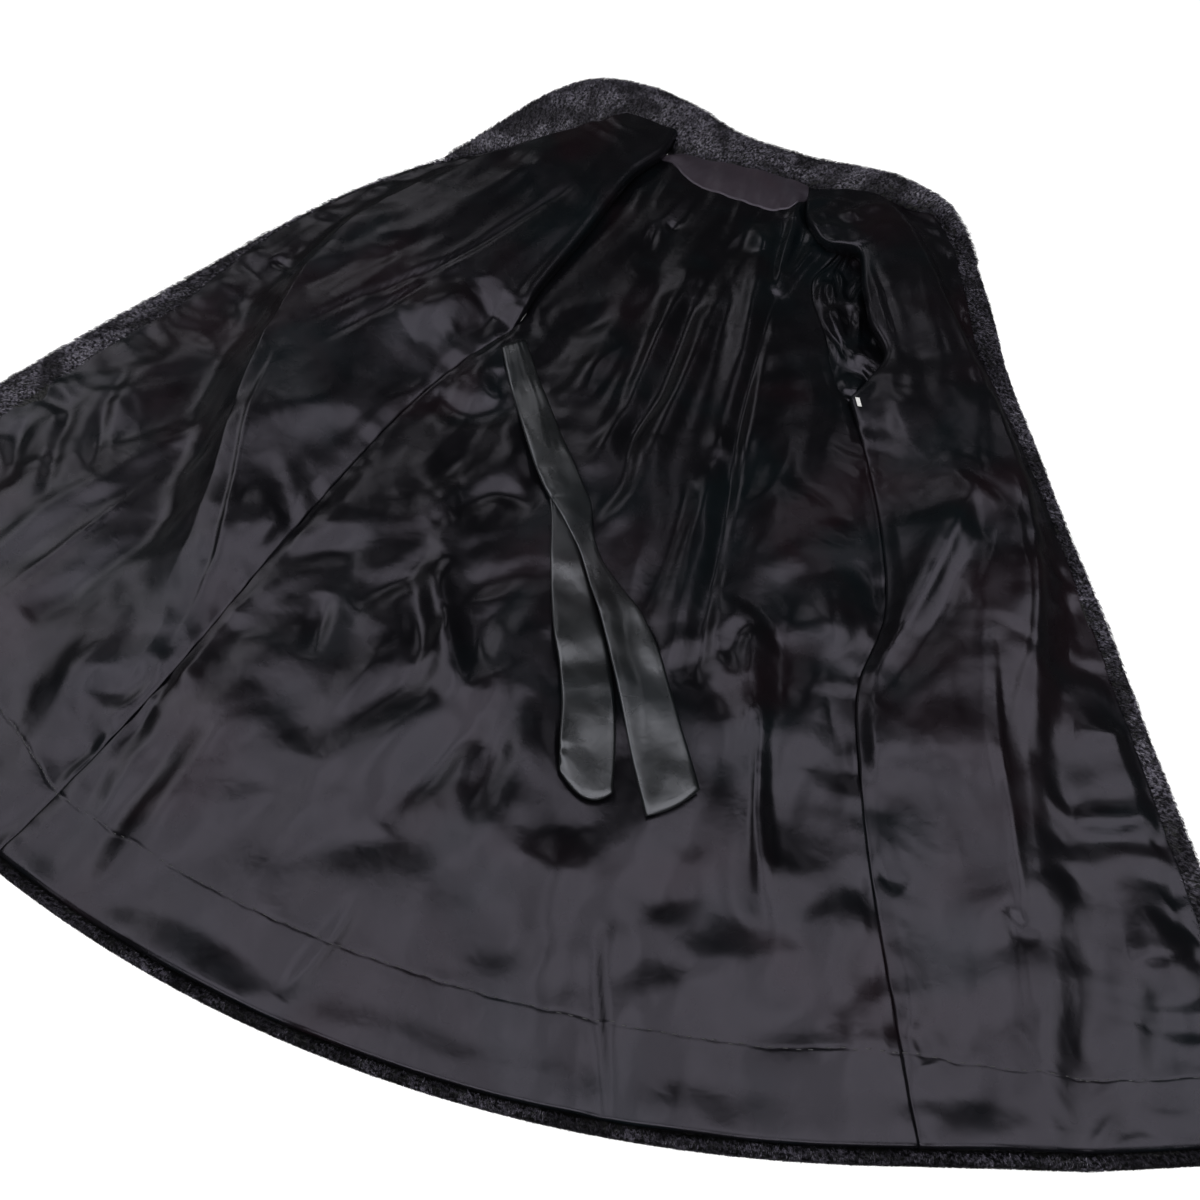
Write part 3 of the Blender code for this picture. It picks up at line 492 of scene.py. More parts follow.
class Front:
    """A front panel: from the side seam over the crest above the sleeve, then out to its edge."""

    columns = SLEEVE_COLUMNS + SKIRT_COLUMNS

    def __init__(self, lines, lifts, margins, roll, relief):
        self.armhole, self.seam, self.crest, self.edge = lines
        self.armhole_lift, self.crest_lift = lifts
        self.margin, self.lap = margins
        self.roll = roll
        self.ridges, self.folds, self.seed = relief

    def lines(self, row):
        seam = edge_of(self.armhole, self.seam, row)
        crest, edge = along(self.crest, row), along(self.edge, row)
        return seam, crest, edge + unit(edge - crest) * along(self.lap, row)

    def place(self, i, j):
        i, j = pairs(i, j)
        row = np.minimum(j, ROWS)
        seam, crest, edge = self.lines(row)
        over = blend(seam, crest, np.clip(i / SLEEVE_COLUMNS, 0, 1))
        step = np.clip((i - SLEEVE_COLUMNS) / SKIRT_COLUMNS, 0, 1)
        skirt = blend(crest, edge, step**SKIRT_CROWDING)
        point = np.where((i <= SLEEVE_COLUMNS)[..., None], over, skirt)
        margin = along(self.margin, row)[..., 0] - along(self.lap, row)[..., 0]
        margin = margin * beyond(i - self.columns)
        point = point + unit(edge - crest) * margin[..., None]
        past = HEM_MARGIN * beyond(j - ROWS)
        if np.any(past > 0):
            down = self.place(i, ROWS) - self.place(i, ROWS - 1)
            point = point + unit(down) * past[..., None]
        return point

    def lift(self, i, j):
        i, j = pairs(i, j)
        row = np.minimum(j, ROWS)
        low = np.maximum(0, along(self.armhole_lift, row)[..., 0])
        high = np.maximum(0, along(self.crest_lift, row)[..., 0])
        over = low + (high - low) * np.sin(np.pi / 2 * np.clip(i / SLEEVE_COLUMNS, 0, 1))
        off = np.linalg.norm(self.place(i, row) - along(self.crest, row), axis=-1) / self.roll
        return np.where(i <= SLEEVE_COLUMNS, over, high * np.exp(-(off**CREST_SHARPNESS)))

    def seams(self, i, j):
        """How far a point is from the side seam and from the front edge, in centimetres."""
        row = np.minimum(j, ROWS)
        seam, _, edge = self.lines(row)
        at = self.place(np.clip(i, 0, self.columns), row)
        return np.linalg.norm(at - seam, axis=-1), np.linalg.norm(at - edge, axis=-1)


BACK = Back()
FRONT_RIGHT = Front(
    (FRONT_ARMHOLE_RIGHT, SIDE_SEAM_RIGHT, CREST_RIGHT, EDGE_RIGHT),
    (ARMHOLE_LIFT_RIGHT, CREST_LIFT_RIGHT), (EDGE_MARGIN_RIGHT, EDGE_LAP_RIGHT), 3.4,
    (FRONT_RIDGES_RIGHT, FRONT_FOLDS_RIGHT, 50),
)
FRONT_LEFT = Front(
    (FRONT_ARMHOLE_LEFT, SIDE_SEAM_LEFT, CREST_LEFT, EDGE_LEFT),
    (ARMHOLE_LIFT_LEFT, CREST_LIFT_LEFT), (EDGE_MARGIN_LEFT, EDGE_LAP_LEFT), 2.3,
    (FRONT_RIDGES_LEFT, FRONT_FOLDS_LEFT, 70),
)


def in_frame(plan, height):
    """Points in the frame, in metres, from plan points in centimetres and heights in millimetres."""
    x, y = plan[..., 0] * CM + NECK[0], plan[..., 1] * CM + NECK[1]
    return np.dstack([x, y, np.broadcast_to(height * MM, x.shape)])


def laid(panel, columns, rows):
    """A grid of columns and rows over a panel, with its plan points and heights."""
    i, j = np.meshgrid(columns, rows)
    return i, j, panel.place(i, j), panel.lift(i, j)


# Satin


def slack(x, y, calm, seed):
    """Loose satin: long soft swells down the cloth, and shorter ones across them."""
    fan = x / (1 + np.maximum(-y, 0) / FAN_REACH)
    bend = ripple(x / 17, y / 23, seed + 1) * 0.7
    sway = ripple(x / 15 + 7, y / 19, seed + 2) * 0.7
    long = ripple(fan / 4.4 + bend, y / 19 + sway, seed + 3)
    short = ripple(fan / 2.1 + bend + 0.5 * long, y / 8.5 + sway, seed + 4)
    crease = 1 - np.abs(ripple(fan / 4.0 + bend, y / 17 + sway, seed + 6))
    busy = rise(ripple(x / 12, y / 14, seed + 7), -0.35, 0.45)
    settings = bpy.context.scene.coat_satin
    wrinkle = settings.wrinkle / MM
    height = settings.swell / MM * long + wrinkle * short * (0.45 + 0.55 * busy)
    height += 0.5 * wrinkle * np.maximum(crease - 0.6, 0) / 0.4 * busy
    cross = ripple((0.77 * x + 0.64 * y) / 11 + bend, (0.77 * y - 0.64 * x) / 3.6 + sway, seed + 9)
    height += 0.8 * wrinkle * cross * rise(ripple(x / 14, y / 11, seed + 12), -0.3, 0.4)
    broad = ripple(x / 8 + bend, y / 6.5 + sway, seed + 13)
    height += 1.8 * wrinkle * broad * rise(-y, 66, 90)
    small = ripple(fan + 1.6 * bend + 0.7 * short, y / 3.4 + 0.8 * short, seed + 8)
    height += 0.18 * wrinkle * small * (0.3 + 0.7 * busy)
    return height * calm


def puckers(off, along_seam, reach, pitch, seed):
    """Short gathers that a seam draws in, fading away from it."""
    lean = along_seam / pitch + 0.12 * off * ripple(along_seam / 9, off / 6, seed)
    strength = 0.35 + 0.65 * rise(ripple(along_seam / 8, off / 30, seed + 1), -0.3, 0.5)
    return ripple(lean, off / (1.6 * reach), seed + 2) * strength * np.exp(-off / reach)


def satin_top(panel, i, j):
    """Plan points and heights of a lining panel's upper face."""
    i, j = pairs(i, j)
    plan = panel.place(i, j)
    x, y = plan[..., 0], plan[..., 1]
    off_side, off_other = panel.seams(i, j)
    down, to_hem = j * ROW_LENGTH, (ROWS - j) * ROW_LENGTH
    calm = 0.5 + 0.5 * rise(j, 4, 11)
    calm = calm * (0.62 + 0.38 * rise(to_hem, 4.5, 9))
    height = ridge_height(panel.ridges, x, y) + fold_height(panel.folds, x, y)
    height += slack(x, y, calm, panel.seed)
    if panel is BACK:
        edge_calm = rise(off_side, 0, 1.4) * rise(off_other, 0, 1.4)
        height *= 0.15 + 0.85 * edge_calm
        for off, seed in ((off_side, 30), (off_other, 40)):
            height += 2.6 * puckers(off, down, 3.4, 2.3, seed) * rise(j, 8, 9)
        dip = bell(off_side, SEAM_DIP_WIDTH) + bell(off_other, SEAM_DIP_WIDTH)
    else:
        height *= 0.15 + 0.85 * rise(off_side, 0, 1.6) * (0.25 + 0.75 * rise(off_other, 0, 2.0))
        height += 2.8 * puckers(off_side, down, 3.6, 2.2, panel.seed + 10) * rise(j, 7.5, 9)
        height += 7.0 * puckers(off_other, down, 7.5, 3.2, panel.seed + 20) * rise(off_other, 0, 1.2)
        dip = bell(off_side, SEAM_DIP_WIDTH)
    height -= SEAM_DIP * dip
    for at_x, at_y, reach, tall, size in CRUMPLES:
        near = np.exp(-((x - at_x) ** 2 + (y - at_y) ** 2) / reach**2)
        height += tall * near * ripple(x / size, y / size, 97)
    wander = 0.16 * ripple(x / 1.5, down / 30, 91)
    valley = bell(to_hem - HEM_STITCHES * ROW_LENGTH + wander, STITCH_DIP_WIDTH)
    height -= STITCH_DIP * valley * (0.8 + 0.4 * ripple(x / 0.9, down / 9, 90))
    height += HEM_ROLL * rise(-to_hem, -3.5, 0)
    above = (height - DEEPEST_FOLD) / DEEPEST_FOLD_SOFTNESS
    height = DEEPEST_FOLD + np.logaddexp(0, above) * DEEPEST_FOLD_SOFTNESS
    return plan, panel.lift(i, j) + FUR_WALL + SEAM_GAP + SATIN_WALL + height


def turned(panel, i, j, turns):
    """A lining's points with its edges turned under. turns has a profile for each of the edges:
    first column, last column, first row, last row."""
    first_i, last_i, first_j, last_j = (np.array(t, float).reshape(-1, 2) for t in turns)
    columns, rows = (
        np.concatenate([np.full(len(first), at[0]), at, np.full(len(last), at[-1])])
        for first, at, last in ((first_i, i, last_i), (first_j, j, last_j))
    )
    grid_i, grid_j = np.meshgrid(columns, rows)
    plan, height = satin_top(panel, grid_i, grid_j)
    inside = panel.place(np.clip(grid_i, i[0] + 0.3, i[-1] - 0.3), grid_j)
    sideways = unit(plan - inside)
    endways = unit(plan - panel.place(grid_i, np.clip(grid_j, j[0] + 0.3, j[-1] - 0.3)))
    (out_i, down_i), (out_j, down_j) = (
        np.concatenate([first[::-1], np.zeros((len(at), 2)), last]).T
        for first, at, last in ((first_i, i, last_i), (first_j, j, last_j))
    )
    plan = plan + sideways * (out_i * 0.1)[None, :, None] + endways * (out_j * 0.1)[:, None, None]
    return plan, height - down_i[None, :] - down_j[:, None]


def front_turned(panel, i, j):
    """A front's lining: a deep ledge over the open armhole, and a plain seam below it."""
    plan, height = turned(panel, i, j, (LEDGE_TURN, EDGE_TURN, NECK_TURN, HEM_TURN))
    rows = np.concatenate([np.full(len(NECK_TURN), j[0]), j, np.full(len(HEM_TURN), j[-1])])
    lift = np.maximum(0, along(panel.armhole_lift, rows)[:, 0])
    share = np.clip(lift / 15, 0.0, 1.15)[:, None]
    count = len(LEDGE_TURN)
    edge_plan, edge_height = plan[:, count : count + 1], height[:, count : count + 1]
    seam = np.interp(np.arange(count), (0, count - 1), (6.0, 0.5))[None, :]
    down = edge_height - height[:, :count]
    plan[:, :count] = edge_plan + (plan[:, :count] - edge_plan) * (0.08 + 0.92 * share)[..., None]
    height[:, :count] = edge_height - (down * share + seam * (1 - np.minimum(share, 1)))
    return plan, height


# Meshes


def coat_collection():
    name = "Fur coat"
    if name not in bpy.data.collections:
        bpy.context.scene.collection.children.link(bpy.data.collections.new(name))
    return bpy.data.collections[name]


def mesh_object(name, points, faces, material):
    """An object whose faces all have the same number of corners."""
    mesh = bpy.data.meshes.new(name)
    points, faces = np.asarray(points, np.float32), np.asarray(faces, np.int32)
    mesh.vertices.add(len(points))
    mesh.vertices.foreach_set("co", points.ravel())
    mesh.loops.add(faces.size)
    mesh.loops.foreach_set("vertex_index", faces.ravel())
    mesh.polygons.add(len(faces))
    starts = np.arange(0, faces.size, faces.shape[1], dtype=np.int32)
    mesh.polygons.foreach_set("loop_start", starts)
    mesh.update(calc_edges=True)
    mesh.shade_smooth()
    mesh.materials.append(material)
    made = bpy.data.objects.new(name, mesh)
    coat_collection().objects.link(made)
    return made


def grid_faces(rows, columns):
    """Quads over a grid of points."""
    index = np.arange(rows * columns).reshape(rows, columns)
    quads = np.stack([index[:-1, :-1], index[1:, :-1], index[1:, 1:], index[:-1, 1:]], -1)
    return quads.reshape(-1, 4)


def facing_up(points, faces):
    """The faces, turned over where most of them look down."""
    a, b, c = (points[faces[:, k]] for k in (0, 1, 2))
    return faces if np.cross(b - a, c - a)[:, 2].sum() > 0 else faces[:, ::-1]


def cloth(name, points, material):
    """A sheet of cloth through a grid of points."""
    rows, columns = points.shape[:2]
    flat = points.reshape(-1, 3)
    return mesh_object(name, flat, facing_up(flat, grid_faces(rows, columns)), material)


def closed(top, bottom):
    """Points and faces of a closed form between an upper and a lower grid of points."""
    rows, columns = top.shape[:2]
    upper, lower = top.reshape(-1, 3), bottom.reshape(-1, 3)
    faces = grid_faces(rows, columns)
    turned_over = facing_up(upper, faces) is not faces
    index = np.arange(rows * columns).reshape(rows, columns)
    rim = np.concatenate([index[0, :-1], index[:-1, -1], index[-1, :0:-1], index[:0:-1, 0]])
    after = np.roll(rim, -1)
    walls = np.stack([rim, after, after + rows * columns, rim + rows * columns], -1)
    everything = np.concatenate([faces, faces[:, ::-1] + rows * columns, walls])
    return np.concatenate([upper, lower]), everything[:, ::-1] if turned_over else everything


# Fur


def scatter(grid, count, draw, rim):
    """Places spread evenly over a grid surface: point, direction across, direction down, normal,
    the way to the rim, and how far the rim is."""
    across, down = grid[:-1, 1:] - grid[:-1, :-1], grid[1:, :-1] - grid[:-1, :-1]
    area = np.linalg.norm(np.cross(across, down), axis=-1)
    cells = draw.choice(area.size, count, p=area.ravel() / area.sum())
    r, c = np.unravel_index(cells, area.shape)
    u, v = draw.random((2, count))
    top = blend(grid[r, c], grid[r, c + 1], u)
    low = blend(grid[r + 1, c], grid[r + 1, c + 1], u)
    side = unit(grid[r, c + 1] - grid[r, c] + grid[r + 1, c + 1] - grid[r + 1, c])
    run = unit(grid[r + 1, c] - grid[r, c] + grid[r + 1, c + 1] - grid[r, c + 1])
    up = unit(np.cross(side, run))
    if up[:, 2].sum() < 0:
        up = -up
    point = blend(top, low, v)
    if rim == "across":
        inner, outer = blend(grid[r, 0], grid[r + 1, 0], v), blend(grid[r, -2], grid[r + 1, -2], v)
    else:
        inner, outer = blend(grid[0, c], grid[0, c + 1], u), blend(grid[-2, c], grid[-2, c + 1], u)
    outward = unit((outer - inner) * (1, 1, 0))
    room = ((outer - point) * outward).sum(-1, keepdims=True)
    return point, side, run, up, outward, room


def pile(name, grid, count, flow, seed, material, rim):
    """Fur over a grid surface: tufts of narrow bent blades that lie along flow (across, down).
    They droop over the rim, which lies across or down."""
    settings = bpy.context.scene.coat_fur
    draw = np.random.default_rng(seed)
    tufts = int(count * settings.density / HAIRS_IN_TUFT)
    root, side, run, up, outward, room = scatter(grid, tufts, draw, rim)
    wave = ripple(root[:, 0] * 22, root[:, 1] * 22, seed)
    drift = ripple(root[:, 0] * 9 + 5, root[:, 1] * 9, seed + 1)
    turn = (0.25 * wave + 0.4 * drift + draw.normal(0, 0.08, tufts))[:, None]
    lay = unit(side * flow[0] + run * flow[1])
    lay = unit(lay + np.cross(up, lay) * turn)
    tilt = np.clip(draw.normal(HAIR_TILT, HAIR_TILT_SPREAD, tufts) + 0.12 * wave, 0.03, 0.7)[:, None]
    length = settings.length * draw.uniform(0.7, 1.1, tufts)[:, None]
    reach = (lay * np.cos(tilt) + up * np.sin(tilt)) * length

    def each(values):
        return np.repeat(values, HAIRS_IN_TUFT, axis=0)

    total = tufts * HAIRS_IN_TUFT
    spread = draw.normal(0, TUFT_SPREAD, (2, total, 1))
    shift = each(side) * spread[0] + each(run) * spread[1]
    base = each(root) + shift - each(up) * ROOT_DEPTH
    stretch = draw.uniform(0.75, 1.12, (total, 1))
    tip = each(root) + each(reach) * stretch + shift * 0.5
    tip += draw.normal(0, 0.0005, (total, 3))
    past = ((tip - each(root)) * each(outward)).sum(-1, keepdims=True) - np.maximum(each(room), 0)
    past = np.maximum(past - OVERHANG, 0)
    tip = tip - each(outward) * past - np.array((0, 0, 1.0)) * past
    bend = each(up * up[:, 2:]) * BLADE_BEND * MM * draw.uniform(0.6, 1.5, (total, 1))
    middle = base + (tip - base) * 0.5 + bend
    roll = each(draw.normal(0, 0.35, (tufts, 1))) + draw.normal(0, 0.3, (total, 1))
    flat = unit(np.cross(tip - base, each(up)) + each(up) * roll * length.mean())
    half = settings.width / 2 * draw.uniform(0.7, 1.3, (total, 1))
    points = np.stack(
        [base - flat * half, base + flat * half, middle - flat * half * 0.8,
         middle + flat * half * 0.8, tip], 1,
    ).reshape(-1, 3)
    points[:, 2] = np.maximum(points[:, 2], UNDERSIDE * MM)
    blade = np.array([(0, 1, 3), (0, 3, 2), (2, 3, 4)])
    faces = (np.arange(total)[:, None, None] * 5 + blade).reshape(-1, 3)
    return mesh_object(name, points, faces, material)


def lumps(plan, size, seed):
    """Soft unevenness of a pelt."""
    return ripple(plan[..., 0] / size, plan[..., 1] / size, seed)


def rim_share(panel, i, j, hem=HEM_RIM):
    """A pelt's height as a share of its full height, which falls off past the lining."""
    share = np.interp(j - ROWS, *hem)
    if panel is not BACK:
        share = np.minimum(share, np.interp(i - panel.columns, *EDGE_RIM))
    return share


def pelt_points(panel, columns, rows):
    """Upper and lower points of a pelt. Beneath the lining its pile is pressed down."""
    i, j, plan, lift = laid(panel, columns, rows)
    beneath = rise(ROWS - j, 0.1, 0.5)
    if panel is not BACK:
        beneath = beneath * rise(panel.columns - i, 0.1, 0.6)
    top = lift + FUR_WALL * rim_share(panel, i, j) + lumps(plan, 1.7, 5) * (1 - beneath)
    return in_frame(plan, top - PILE_PRESSED * beneath), in_frame(plan, lift + UNDERSIDE)


def margin_grid(panel, rows):
    """The fur that shows beside a front's lining, from just beneath the satin to its outer foot."""
    columns = spaced(((panel.columns - 0.12, panel.columns + 2, 12),))
    i, j, plan, lift = laid(panel, columns, rows)
    top = in_frame(plan, lift + FUR_WALL * rim_share(panel, i, j, EDGE_RIM))
    return np.concatenate([top, in_frame(plan[:, -1:], lift[:, -1:] + FOOT)], 1)


def hem_grid(panel, last):
    """The fur that shows below a panel's hem."""
    # The pile starts past the bare strip of pelt that is painted shade along the hem
    rows = spaced(((ROWS + HEM_BARE_SHADE, ROWS + 2, 7),))
    i, j, plan, lift = laid(panel, np.linspace(0, last, 90), rows)
    top = in_frame(plan, lift + FUR_WALL * rim_share(panel, i, j))
    return np.concatenate([top, in_frame(plan[-1:], lift[-1:] + FOOT)])


def collar_grid():
    """The collar's upper face: along the neck, and from its seam across to its outer edge."""
    free = along(COLLAR_FREE_END, np.arange(13.0))
    rim = FRONT_LEFT.columns + 2.0
    edge = np.concatenate([
        BACK.place(np.arange(BACK.columns + 1.0), 0.0),
        FRONT_LEFT.place(np.arange(1.0, rim + 1), 0.0),
        FRONT_LEFT.place(rim, np.array([1.0, 2.0])),
    ])
    ends = np.arange(len(edge))
    run = edge[np.minimum(ends + 1, len(edge) - 1)] - edge[np.maximum(ends - 1, 0)]
    edge = edge + unit(np.stack([-run[:, 1], run[:, 0]], -1)) * 0.04
    sewn = np.concatenate([edge, along(COLLAR_SEWN, edge[:, 0])], 1)
    stations = np.concatenate([free, sewn])
    table = np.concatenate([np.arange(len(stations))[:, None], stations], 1)
    long, wide = COLLAR_STEPS
    rows = along(table, np.linspace(0, len(stations) - 1, long))
    share = 0.5 - 0.5 * np.cos(np.pi * np.linspace(0, 1, wide))
    plan = blend(rows[:, None, 0:2], rows[:, None, 2:4], np.broadcast_to(share, COLLAR_STEPS))
    roll = 0.35 + 0.65 * np.sin(np.pi * share) ** 0.6
    height = rows[:, 4:5] * roll[None, :]
    height = height + 1.3 * lumps(plan, 2.4, 8) * np.sin(np.pi * share)[None, :]
    return in_frame(plan, height), in_frame(plan, 0.4)


# Pieces


def fur_pelts(fur):
    rows = spaced(((0, 1, 6), (1, 23.6, 90), (23.6, 26, 14)))
    front_columns = spaced(((0, 12.4, 44), (12.4, 15, 16)))
    sleeve_columns = np.linspace(SLEEVE_START, SLEEVE_COLUMNS, 25)
    sleeve_rows = np.linspace(0, CUFF_ROW - SHOULDER_ROW, 57) + SHOULDER_ROW

    def beneath(plan, top):
        return closed(in_frame(plan, top - 0.6), in_frame(plan, 0.2))

    right, left = (
        beneath(*laid(panel, sleeve_columns, sleeve_rows)[2:]) for panel in (FRONT_RIGHT, FRONT_LEFT)
    )
    mouth_i, mouth_j = np.meshgrid(np.linspace(0, MOUTH_STEPS, 41), np.linspace(0, 7, 57))
    floor = beneath(armhole_place(mouth_i, mouth_j), armhole_floor(mouth_i))
    made = {
        "fur_back": closed(*pelt_points(BACK, np.linspace(0, BACK.columns, 79), rows)),
        "fur_front_right": closed(*pelt_points(FRONT_RIGHT, front_columns, rows)),
        "fur_front_left": closed(*pelt_points(FRONT_LEFT, front_columns, rows)),
        "fur_sleeve_right": right,
        "fur_sleeve_left": both(floor, left),
        "fur_collar": closed(*collar_grid()),
    }
    return {solid: mesh_object(solid.replace("fur", "pelt"), *made[solid], fur) for solid in made}


def both(one, other):
    """The points and faces of two closed forms as one."""
    (points, faces), (more_points, more_faces) = one, other
    return np.concatenate([points, more_points]), np.concatenate([faces, more_faces + len(points)])


def armhole_place(i, j):
    """A point of the open left armhole, from the back's edge to below the front's edge."""
    row = j + SHOULDER_ROW
    start = BACK.place(BACK.columns, row) + (0.06, 0)
    return blend(start, FRONT_LEFT.place(SLEEVE_START, row), i / MOUTH_STEPS)


def armhole_floor(i):
    return 8.5 - 3.5 * np.minimum(1, 2 * i / MOUTH_STEPS)


def sleeve_lining_points():
    grid_i, grid_j = np.meshgrid(np.linspace(0, 4.6, 110), np.linspace(0, 7, 170))
    plan = armhole_place(grid_i, grid_j)
    x, y = plan[..., 0], plan[..., 1]
    height = armhole_floor(grid_i) + 1.3 + ridge_height(SLEEVE_PLEATS, x, y)
    across, down = grid_i * 1.7, grid_j * 4.0
    bend = ripple(across / 3 + 3, down / 5, 120)
    gathers = 5.0 * ripple(across / 3.2 + 1.4 * bend, down / 6 + 0.6 * bend, 121)
    gathers += 5.0 * ripple(across / 4.2 + bend, down / 3.4 - bend, 122)
    gathers += 0.8 * ripple(across / 1.4 + bend, down / 2.4, 123)
    inside = rise(grid_i, 0, 0.7) * rise(grid_j, 0, 0.6) * rise(7 - grid_j, 0, 0.5)
    height = height + (np.maximum(gathers, -3.5) + 3.0) * inside
    return in_frame(plan, height)


def neck_facing_points():
    i = spaced(((0, 0.6, 4), (0.6, 25.4, 150), (25.4, 26, 4)))
    share = spaced(((0, 0.1, 3), (0.1, 0.9, 22), (0.9, 1.0, 8)))
    grid_i, grid_share = np.meshgrid(i, share)
    depth = along(FACING_DEPTH, i)[:, 0]
    plan, height = satin_top(BACK, grid_i, grid_share * depth)
    pad = SEAM_GAP + FACING_WALL + 2.2 * np.sin(np.pi * grid_share) ** 1.5
    pad = pad + 0.5 * ripple(grid_i * 0.9, grid_share * 2, 130)
    return in_frame(plan, height + pad - 1.5 * rise(grid_share, 0.94, 1.0) ** 2)


class HeightMap:
    """The highest point over each small square of the floor."""

    cell = 0.004

    def __init__(self, points):
        self.low = np.array([-0.5, -0.6])
        self.high = np.full((240, 260), -1.0)
        self.add(points)

    def add(self, points):
        flat = points.reshape(-1, 3)
        index = np.round((flat[:, :2] - self.low) / self.cell).astype(int)
        inside = np.all((index >= 1) & (index < np.array(self.high.shape) - 1), axis=1)
        index, heights = index[inside], flat[inside, 2]
        np.maximum.at(self.high, (index[:, 0], index[:, 1]), heights)

    def spread(self, field, steps, reduce):
        for _ in range(steps):
            padded = np.pad(field, 1, mode="edge")
            field = reduce([
                padded[1:-1, 1:-1], padded[:-2, 1:-1], padded[2:, 1:-1],
                padded[1:-1, :-2], padded[1:-1, 2:],
            ], 0)
        return field

    def bridge(self, plan):
        """Heights of a cloth that spans the hollows at frame points."""
        filled = self.spread(self.high, 1, np.max)
        spans = self.spread(self.spread(filled, 3, np.max), 5, np.mean)
        smooth = self.spread(np.maximum(spans - 0.001, filled), 2, np.mean)
        at = (plan - self.low) / self.cell
        index = np.clip(np.floor(at).astype(int), 0, np.array(self.high.shape) - 2)
        (u, v), (a, b) = np.moveaxis(at - index, -1, 0), np.moveaxis(index, -1, 0)
        one = smooth[a, b] * (1 - u) + smooth[a + 1, b] * u
        other = smooth[a, b + 1] * (1 - u) + smooth[a + 1, b + 1] * u
        return one * (1 - v) + other * v


def tie_points(edges, bulge, below, seed):
    """Upper and lower points of a tie that lies over what is below it, with a rounded lower end."""
    last = len(edges) - 1
    t, share = np.linspace(0, 1, TIE_ROWS), np.linspace(-0.5, 0.5, TIE_COLUMNS)
    lines = along([(k, *row) for k, row in enumerate(edges)], t * last)
    one, other = lines[:, 0:2], lines[:, 2:4]
    middle, width = (one + other) / 2, np.linalg.norm(other - one, axis=-1)
    run = unit(np.gradient(middle, axis=0))
    size = (TIE_ROWS, TIE_COLUMNS)
    plan = blend(one[:, None], other[:, None], np.broadcast_to(share + 0.5, size))
    cut = bulge * (1 - 4 * share**2)[None, :] * (rise(t, 0.9, 1.0) ** 2)[:, None]
    plan = plan + run[:, None] * cut[..., None]
    down = np.broadcast_to((t * TIE_LENGTH)[:, None], size)
    across = width[:, None] * share
    low = below.bridge(plan * CM + NECK) * 1000 + TIE_CLEARANCE
    soft = 3.6 * ripple(across / 4.5 + down / 11, down / 5.5 - across / 5, seed + 1) + 2.0
    gather = 1.1 * ripple(across / 0.7, down / 9, seed + 2) * (1 - rise(t, 0.05, 0.35))[:, None]
    low = low + np.maximum(0, soft) * rise(t, 0.02, 0.15)[:, None] * 0.4 + np.abs(gather)
    drawn = ripple(down / 1.3, across / 3, seed + 3)
    drawn = drawn * rise(ripple(down / 7, across / 9, seed + 4), -0.2, 0.4)
    low = low + 1.2 * drawn * np.exp(-(width[:, None] * (share + 0.5)) / 1.2)
    low = low + along(TIE_SWELL, t)
    off_edge = width[:, None] * (0.5 - np.abs(share))
    stitched = bell(off_edge - TIE_STITCHES_IN, TIE_STITCHES_WIDTH)
    stitched = stitched * (0.6 + 0.4 * np.sin(down * 2 * np.pi / TIE_STITCH_PITCH))
    rim = 1 - np.exp(-off_edge / 0.12)
    ends = 1 - np.exp(-np.broadcast_to(((1 - t) * TIE_LENGTH)[:, None], size) / 0.12)
    top = low + 0.25 + TIE_WALL * 0.85 * np.minimum(rim, ends) - 0.45 * stitched
    return in_frame(plan, top), in_frame(plan, low)


def thread_points(points, run, up, length, thickness):
    """Short stitches: boxes laid along run at points."""
    side = unit(np.cross(run, up))
    corners = []
    for ahead, tall in ((-0.5, 0.2), (-0.3, 1), (0.3, 1), (0.5, 0.2)):
        for across in (-0.5, 0.5):
            offset = side * thickness * across
            corners.append(points + run * length * ahead + offset + up * thickness * tall)
    quads = np.array([(0, 1, 3, 2), (2, 3, 5, 4), (4, 5, 7, 6), (0, 2, 4, 6), (1, 7, 5, 3)])
    flat = np.stack(corners, 1).reshape(-1, 3)
    return flat, (np.arange(len(points))[:, None, None] * 8 + quads[None]).reshape(-1, 4)


def hem_stitches():
    """The stitches that hold the lining's turned hem, panel by panel."""
    found = []
    draw = np.random.default_rng(7)
    for panel, columns, count in ((FRONT_RIGHT, 12.8, 34), (BACK, 26, 72), (FRONT_LEFT, 12.8, 26)):
        i = np.linspace(0.15, columns - 0.15, count) + draw.normal(0, 0.03, count)
        j = ROWS - HEM_STITCHES + draw.normal(0, 0.012, count)
        plan, height = satin_top(panel, i, j)
        ahead, height_ahead = satin_top(panel, i + 0.06, j)
        at, then = in_frame(plan, height - 0.2)[0], in_frame(ahead, height_ahead - 0.2)[0]
        found.append((at, unit(then - at)))
    at, run = (np.concatenate([f[k] for f in found]) for k in (0, 1))
    up = np.zeros_like(at) + (0, 0, 1.0)
    return thread_points(at, run, up, *STITCH_SIZE)


def tag_points():
    column, row = TAG_CELL
    (left, right), (upper, lower) = TAG_SPAN
    u, v = np.meshgrid(np.linspace(left, right, 14), np.linspace(upper, lower, 22))
    corners = FRONT_LEFT.place(*np.meshgrid((column, column + 1.0), (row, row + 1.0)))
    top_edge = blend(corners[0, 0], corners[0, 1], u)
    plan = blend(top_edge, blend(corners[1, 0], corners[1, 1], u), v)
    _, height = satin_top(FRONT_LEFT, column + u, row + v)
    curl = 0.8 * ((u - u.mean()) / (right - left)) ** 2 * 4 + 0.25 * ripple(u * 30, v * 30, 140)
    low = height.max() - 0.6 * (height.max() - height) + SEAM_GAP + curl * 0.6
    return in_frame(plan, low + 0.9), in_frame(plan, low)


# Materials


